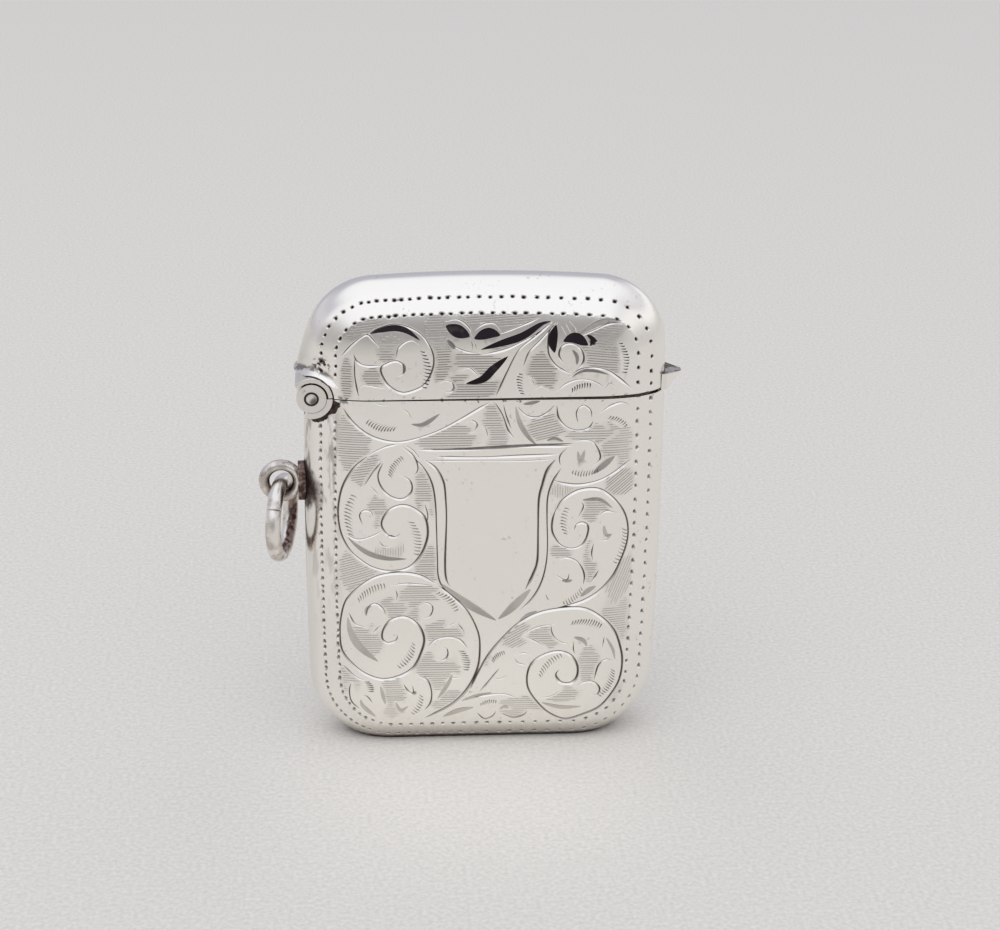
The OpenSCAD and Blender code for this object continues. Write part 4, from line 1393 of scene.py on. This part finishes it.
# Painted contact shadow along the bottom edge, and painted brown shade on the base roll, as heights.
BASE_PAINTED_SHADOW, BASE_PAINTED_SHADE = (0.15, 0.7), (0.4, 2.4)
STREAKS_X, STREAKS_LOW, STREAKS_HIGH = (-14.2, -12.4), (8.0, 30.0), (33.0, 36.0)
STREAK_STRETCH = (1.0, 1.0, 0.22)
SEAM_DARK = (0.15, 0.5)
LEFT_EDGE_SHADE, RIGHT_EDGE_SHADE = (-16.3, -15.1), (15.8, 16.4)
LIP_DARK, LIP_DARK_END, LIP_DARK_Z = (2.3, 2.5), (2.65, 3.0), (36.7, 37.3)
LID_BOLD = (34.0, 36.0)


def engraved_silver():
    """Bright silver, brown and black in the cuts as tarnish, with painted shade on cut walls that do not
    face up and painted dark reflection in the dark leaves; stains by the hinge, tarnish and painted shade
    by the eye's foot, and painted shade along the base and at the far sides.
    """
    finish = Silver("engraved_silver")
    x, z = finish.x, finish.z
    mottle = finish.noise(1.3, 3)
    # Tarnish in the cuts is held off walls that face up. It stays on walls facing down or sideways, as
    # tarnish and as painted shade.
    kept = 1 - 0.9 * finish.steps(finish.rise(), 0.12, 0.4)
    cuts = finish.layer("engraved")
    brown_cuts = finish.steps(cuts, 0.12, 0.6) * kept * (0.75 + 0.4 * finish.noise(1.2)) * 0.85
    dark_cuts = finish.steps(cuts, 0.5, 1.0) * kept * 0.85
    # The shaded layer: tarnish in leaves, hatch, ticks and dots, and painted dark reflection in the dark
    # leaves; heavier on the lid.
    bold = 0.42 + 0.4 * finish.steps(z, *LID_BOLD)
    bold = bold + 0.4 * finish.noise(0.3, 1) + 0.25 * finish.noise(1.4, 2)
    shade = finish.steps(finish.layer("shaded"), 0.0, 0.55) * bold

    below = finish.fade(z, SPLIT_Z - 0.3, SPLIT_Z)
    from_hinge = finish.away(*HINGE) + HINGE_WAVER * below * (mottle - 0.5)
    by_hinge = finish.fade(from_hinge, *(a + b * below for a, b in zip(HINGE_STAIN, HINGE_STAIN_BELOW)))
    blot = finish.fade(finish.away(*BLOT), *BLOT_STAIN) * finish.steps(finish.noise(2.4, 4), 0.5, 0.57)
    # By the eye's foot: tarnish with the painted shadow and reflection of the eye on the case side.
    from_foot = finish.away(*EYE_FOOT[[0, 2, 1]]) + FOOT_WAVER * (mottle - 0.5)
    # Stains by the hinge and the blot, tarnish with painted shade by the eye's foot, and painted contact
    # shadow along the bottom edge.
    stain_and_shade = finish.most(by_hinge, blot, finish.fade(from_foot, *FOOT_SHADE_AND_STAIN), finish.fade(z, *BASE_PAINTED_SHADOW))
    streaks = finish.steps(z, *STREAKS_LOW) * finish.fade(z, *STREAKS_HIGH) * finish.fade(x, *STREAKS_X)
    streaks = streaks * finish.steps(finish.noise(1.1, 4, STREAK_STRETCH), 0.52, 0.62)
    # Painted brown shade on the base roll.
    base = finish.fade(z, *BASE_PAINTED_SHADE)
    brown = finish.most(brown_cuts, 0.42 * base, 0.75 * shade, stain_and_shade, 0.5 * streaks, 0.35 * finish.specks())

    # Dark patches painted along the seam between lid and body.
    seam_dark = finish.fade(finish.gap(z, SPLIT_Z + 0.05), *SEAM_DARK)
    seam_dark = seam_dark * finish.steps(finish.noise(1.9, 4), 0.6, 0.66)
    # Painted shade on the far left and far right of the case.
    edge_shade = 0.14 * finish.fade(x, *LEFT_EDGE_SHADE) + 0.05 * finish.steps(x, *RIGHT_EDGE_SHADE)
    # Black streaks painted above the lip over the hinge.
    dark_above_lip = finish.steps(from_hinge, *LIP_DARK) * finish.fade(from_hinge, *LIP_DARK_END)
    dark_above_lip = dark_above_lip * finish.steps(z, *LIP_DARK_Z) * finish.steps(mottle, 0.36, 0.52)
    worn = 0.45 + 0.5 * finish.steps(finish.noise(2.2, 3), 0.36, 0.6)
    dark = finish.most(dark_cuts, 0.85 * shade * shade, 0.7 * seam_dark, edge_shade, 0.75 * dark_above_lip, stain_and_shade * worn)
    return finish.done(SILVER, brown, dark, 0.12)


def plain_silver():
    """Bright silver, dark at the mouth."""
    finish = Silver("plain_silver")
    in_mouth = finish.fade(finish.gap(finish.z, SPLIT_Z + 0.2), 0.3, 0.8)
    return finish.done(SILVER, finish.most(in_mouth * 0.8, 0.5 * finish.specks()), in_mouth * 0.7, 0.14)


def thumb_silver():
    """Silver, brown and dark on the faces that look up."""
    finish = Silver("thumbpiece_silver")
    top = finish.steps(finish.rise(), 0.3, 0.6)
    brown = top * (0.35 + 0.6 * finish.steps(finish.noise(1.3, 3), 0.4, 0.6))
    return finish.done(SILVER, brown, brown * 0.4, 0.15)


def hinge_silver(name, tarnish):
    """Worn silver, dark round the pin's end."""
    finish = Silver(name)
    ring = finish.fade(finish.gap(finish.away(*HINGE), PIN_R + 0.04), 0.05, 0.14)
    patchy = finish.steps(finish.noise(0.9, 3), 0.62 - 0.3 * tarnish, 0.8 - 0.2 * tarnish)
    brown = finish.most(ring, 0.6 * patchy, tarnish * patchy)
    return finish.done(WORN_SILVER, brown, finish.most(ring * 0.7, tarnish * patchy * 0.6), 0.2)


def worn_wire(finish, brown, black):
    """Finish worn wire with the given brown and black (stains, and painted shade at the eye's foot), grey
    patches and grit.
    """
    patchy = finish.steps(finish.noise(0.7, 4), 0.42, 0.66)
    grit = finish.steps(finish.noise(2.5, 3), 0.56, 0.66)
    mottle = finish.steps(finish.noise(1.7, 4), 0.4, 0.6)
    stain_and_shade = finish.most(brown * (0.7 + 0.3 * mottle), 0.42 * patchy, 0.8 * grit * patchy)
    dark = finish.most(black, brown * (0.1 + 0.6 * mottle), 0.3 * grit * patchy)
    return finish.done(WORN_SILVER, stain_and_shade, dark, 0.18, RED_TARNISH_AND_SHADE)


def eye_silver():
    """Worn wire, stained inside the eye, and dark on its foot as tarnish and painted shade where it meets
    the case.
    """
    finish = Silver("eye_silver")
    x, y, z = EYE
    inner = finish.fade(finish.away(x, z, y), *EYE_INSIDE)
    # The foot: tarnish with painted shade where the eye meets the case.
    foot = finish.steps(finish.x + 0.5 * (finish.noise(1.3, 3) - 0.5), *EYE_FOOT_FROM)
    return worn_wire(finish, finish.most(inner, foot), foot * 0.3)


def ring_silver():
    """Worn wire, red-brown on the far side of its inside."""
    finish = Silver("ring_silver")
    x, y, z = RING
    inner = finish.fade(finish.away(x, z, y), *RING_INSIDE)
    aside = (finish.x - x) * RING_AXIS[0] + (finish.y - y) * RING_AXIS[1]
    rust = inner * finish.steps(aside + 0.6 * (finish.noise(1.2, 3) - 0.5), -0.2, 0.1)
    return worn_wire(finish, rust, rust * 0.1)


WELD_GAP = 0.002
EASE_SEGMENTS, EASE_ANGLE = 3, math.radians(35)


def make_shells(sheet):
    for body, half in (("body", body_half()), ("lid", lid_half())):
        for side in ("front", "back"):
            node = f"{body}_{side}"
            mesh = mesh_of(half, f"engraved_{node}", side == "front")
            mesh.materials.append(sheet)
            add_piece(mesh, body, "silver_sheet", node)


def dress_kept(nodes, material, edge):
    """Give kept solids their finish, with their edges eased by a little."""
    for name in nodes:
        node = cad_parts[name]
        node.data.materials.clear()
        node.data.materials.append(material)
        weld = node.modifiers.new("weld", "WELD")
        weld.merge_threshold = WELD_GAP * MM
        ease = node.modifiers.new("eased_edges", "BEVEL")
        ease.width = edge * MM
        ease.segments = EASE_SEGMENTS
        ease.limit_method = "ANGLE"
        ease.angle_limit = EASE_ANGLE
        ease.harden_normals = False


make_shells(engraved_silver())
dress_kept(("mouth_bezel",), plain_silver(), 0.03)
dress_kept(("thumbpiece",), thumb_silver(), 0.08)
dress_kept(("front_knuckle", "lid_knuckle", "rear_knuckle"), hinge_silver("knuckle_silver", 0.2), 0.05)
dress_kept(("hinge_pin",), hinge_silver("pin_silver", 0.8), 0.1)
dress_kept(("lid_hinge_bearer",), hinge_silver("lid_bearer_silver", 0.05), 0.25)
dress_kept(("body_hinge_bearer",), hinge_silver("body_bearer_silver", 0.3), 0.04)
dress_kept(("ring_eye",), eye_silver(), 0.06)
dress_kept(("jump_ring",), ring_silver(), 0.04)
dress_kept(("striker_strip",), hinge_silver("striker_silver", 0.5), 0.03)


# Floor, light and surroundings
FLOOR_SIZE = 3.0
FLOOR_FRONT = -0.1
FLOOR_COLOUR = (0.702, 0.678, 0.626)
FLOOR_GRAIN = 0.4
FLOOR_GLOW = 0.21
GLOW_MIDDLE, GLOW_ACROSS, GLOW_FRONT, GLOW_BACK = -2.0, (3.0, 26.0), (-36.0, -3.0), (-8.0, 5.0)
BACKDROP = (0.69, 0.67, 0.64, 1)


def make_floor():
    """Lay a pale, faintly grained floor, lighter where the silver throws light in front of the case."""
    material = bpy.data.materials.new("pale_floor")
    finish = Finish(material)
    x, y, _ = finish.place()
    glow = finish.fade(finish.gap(x, GLOW_MIDDLE), *GLOW_ACROSS)
    glow = glow * finish.steps(y, *GLOW_FRONT) * finish.fade(y, *GLOW_BACK)
    shade = (1 - 0.5 * FLOOR_GRAIN + FLOOR_GRAIN * finish.noise(2.5, 2)) * (1 + FLOOR_GLOW * glow)
    colour = finish.node("ShaderNodeVectorMath", {"operation": "SCALE"}, {0: FLOOR_COLOUR, "Scale": shade})
    shader = finish.node("ShaderNodeBsdfPrincipled", None, {"Base Color": colour, "Roughness": 0.9})
    finish.node("ShaderNodeOutputMaterial", None, {"Surface": shader})
    mesh = bpy.data.meshes.new("floor")
    reach = FLOOR_SIZE / 2
    corners = [(-reach, FLOOR_FRONT, 0), (reach, FLOOR_FRONT, 0), (reach, reach, 0), (-reach, reach, 0)]
    mesh.from_pydata(corners, [], [(0, 1, 2, 3)])
    mesh.materials.append(material)
    floor = put("floor", mesh)


# The room in front of the case, behind it and at its sides, by height in degrees
FRONT_ROOM = (
    (-20, (0.59, 0.58, 0.565)), (-10, (0.5, 0.49, 0.485)), (-3, (0.34, 0.335, 0.345)),
    (8, (0.34, 0.335, 0.345)), (13, (0.5, 0.5, 0.52)), (20, (0.92, 0.935, 0.99)), (30, (0.97, 0.99, 1.06)),
)
BACK_ROOM = (
    (0, (0.45, 0.455, 0.52)), (38, (0.5, 0.505, 0.58)), (52, (0.9, 0.915, 0.98)), (70, (0.95, 0.97, 1.04)),
)
SIDE_ROOM = (
    (-3, (0.6, 0.595, 0.6)), (4, (0.68, 0.675, 0.68)), (12, (0.93, 0.93, 0.95)), (20, (0.93, 0.93, 0.96)),
    (29, (0.7, 0.7, 0.76)), (42, (0.78, 0.78, 0.84)), (60, (0.93, 0.945, 1.01)),
)
LEFT_SHARE = 0.35
FRONT_FROM, RIGHT_FROM, LEFT_FROM = (0.1, 0.5), (0.3, 0.58), (0.4, 0.7)
LAMP_SIZE, LAMP_POWER, LAMP_PLACE = 0.5, 0.5, Vector((-0.1, -0.08, 0.5))


def by_height(room):
    return [(0.5 + 0.5 * math.sin(math.radians(height)), colour) for height, colour in room]


def make_light():
    """A bright room for the silver to reflect, with a dark band, and a soft lamp overhead."""
    world = bpy.data.worlds.new("studio")
    bpy.context.scene.world = world
    finish = Finish(world)
    way = finish.node("ShaderNodeTexCoord", output=0)
    x, y, z = finish.parts(way)
    front, back, sides = (
        finish.node("ShaderNodeValToRGB", {"stops": by_height(room)}, {0: 0.5 + 0.5 * z})
        for room in (FRONT_ROOM, BACK_ROOM, SIDE_ROOM)
    )
    colour = finish.blend(finish.steps(-1 * y, *FRONT_FROM), back, front)
    aside = finish.most(finish.steps(x, *RIGHT_FROM), LEFT_SHARE * finish.steps(-1 * x, *LEFT_FROM))
    colour = finish.blend(aside, colour, sides)
    seen = finish.node("ShaderNodeLightPath")
    colour = finish.blend(seen, colour, BACKDROP)
    shader = finish.node("ShaderNodeBackground", None, {"Color": colour})
    finish.node("ShaderNodeOutputWorld", None, {"Surface": shader})
    lamp = bpy.data.lights.new("soft_box", "AREA")
    lamp.shape = "DISK"
    lamp.size = LAMP_SIZE
    lamp.energy = LAMP_POWER
    box = put("soft_box", lamp)
    box.location = LAMP_PLACE
    box.rotation_euler = (-LAMP_PLACE).to_track_quat("-Z", "Y").to_euler()
    box.visible_glossy = False


make_floor()
make_light()
bpy.context.scene.view_settings.view_transform = "Standard"
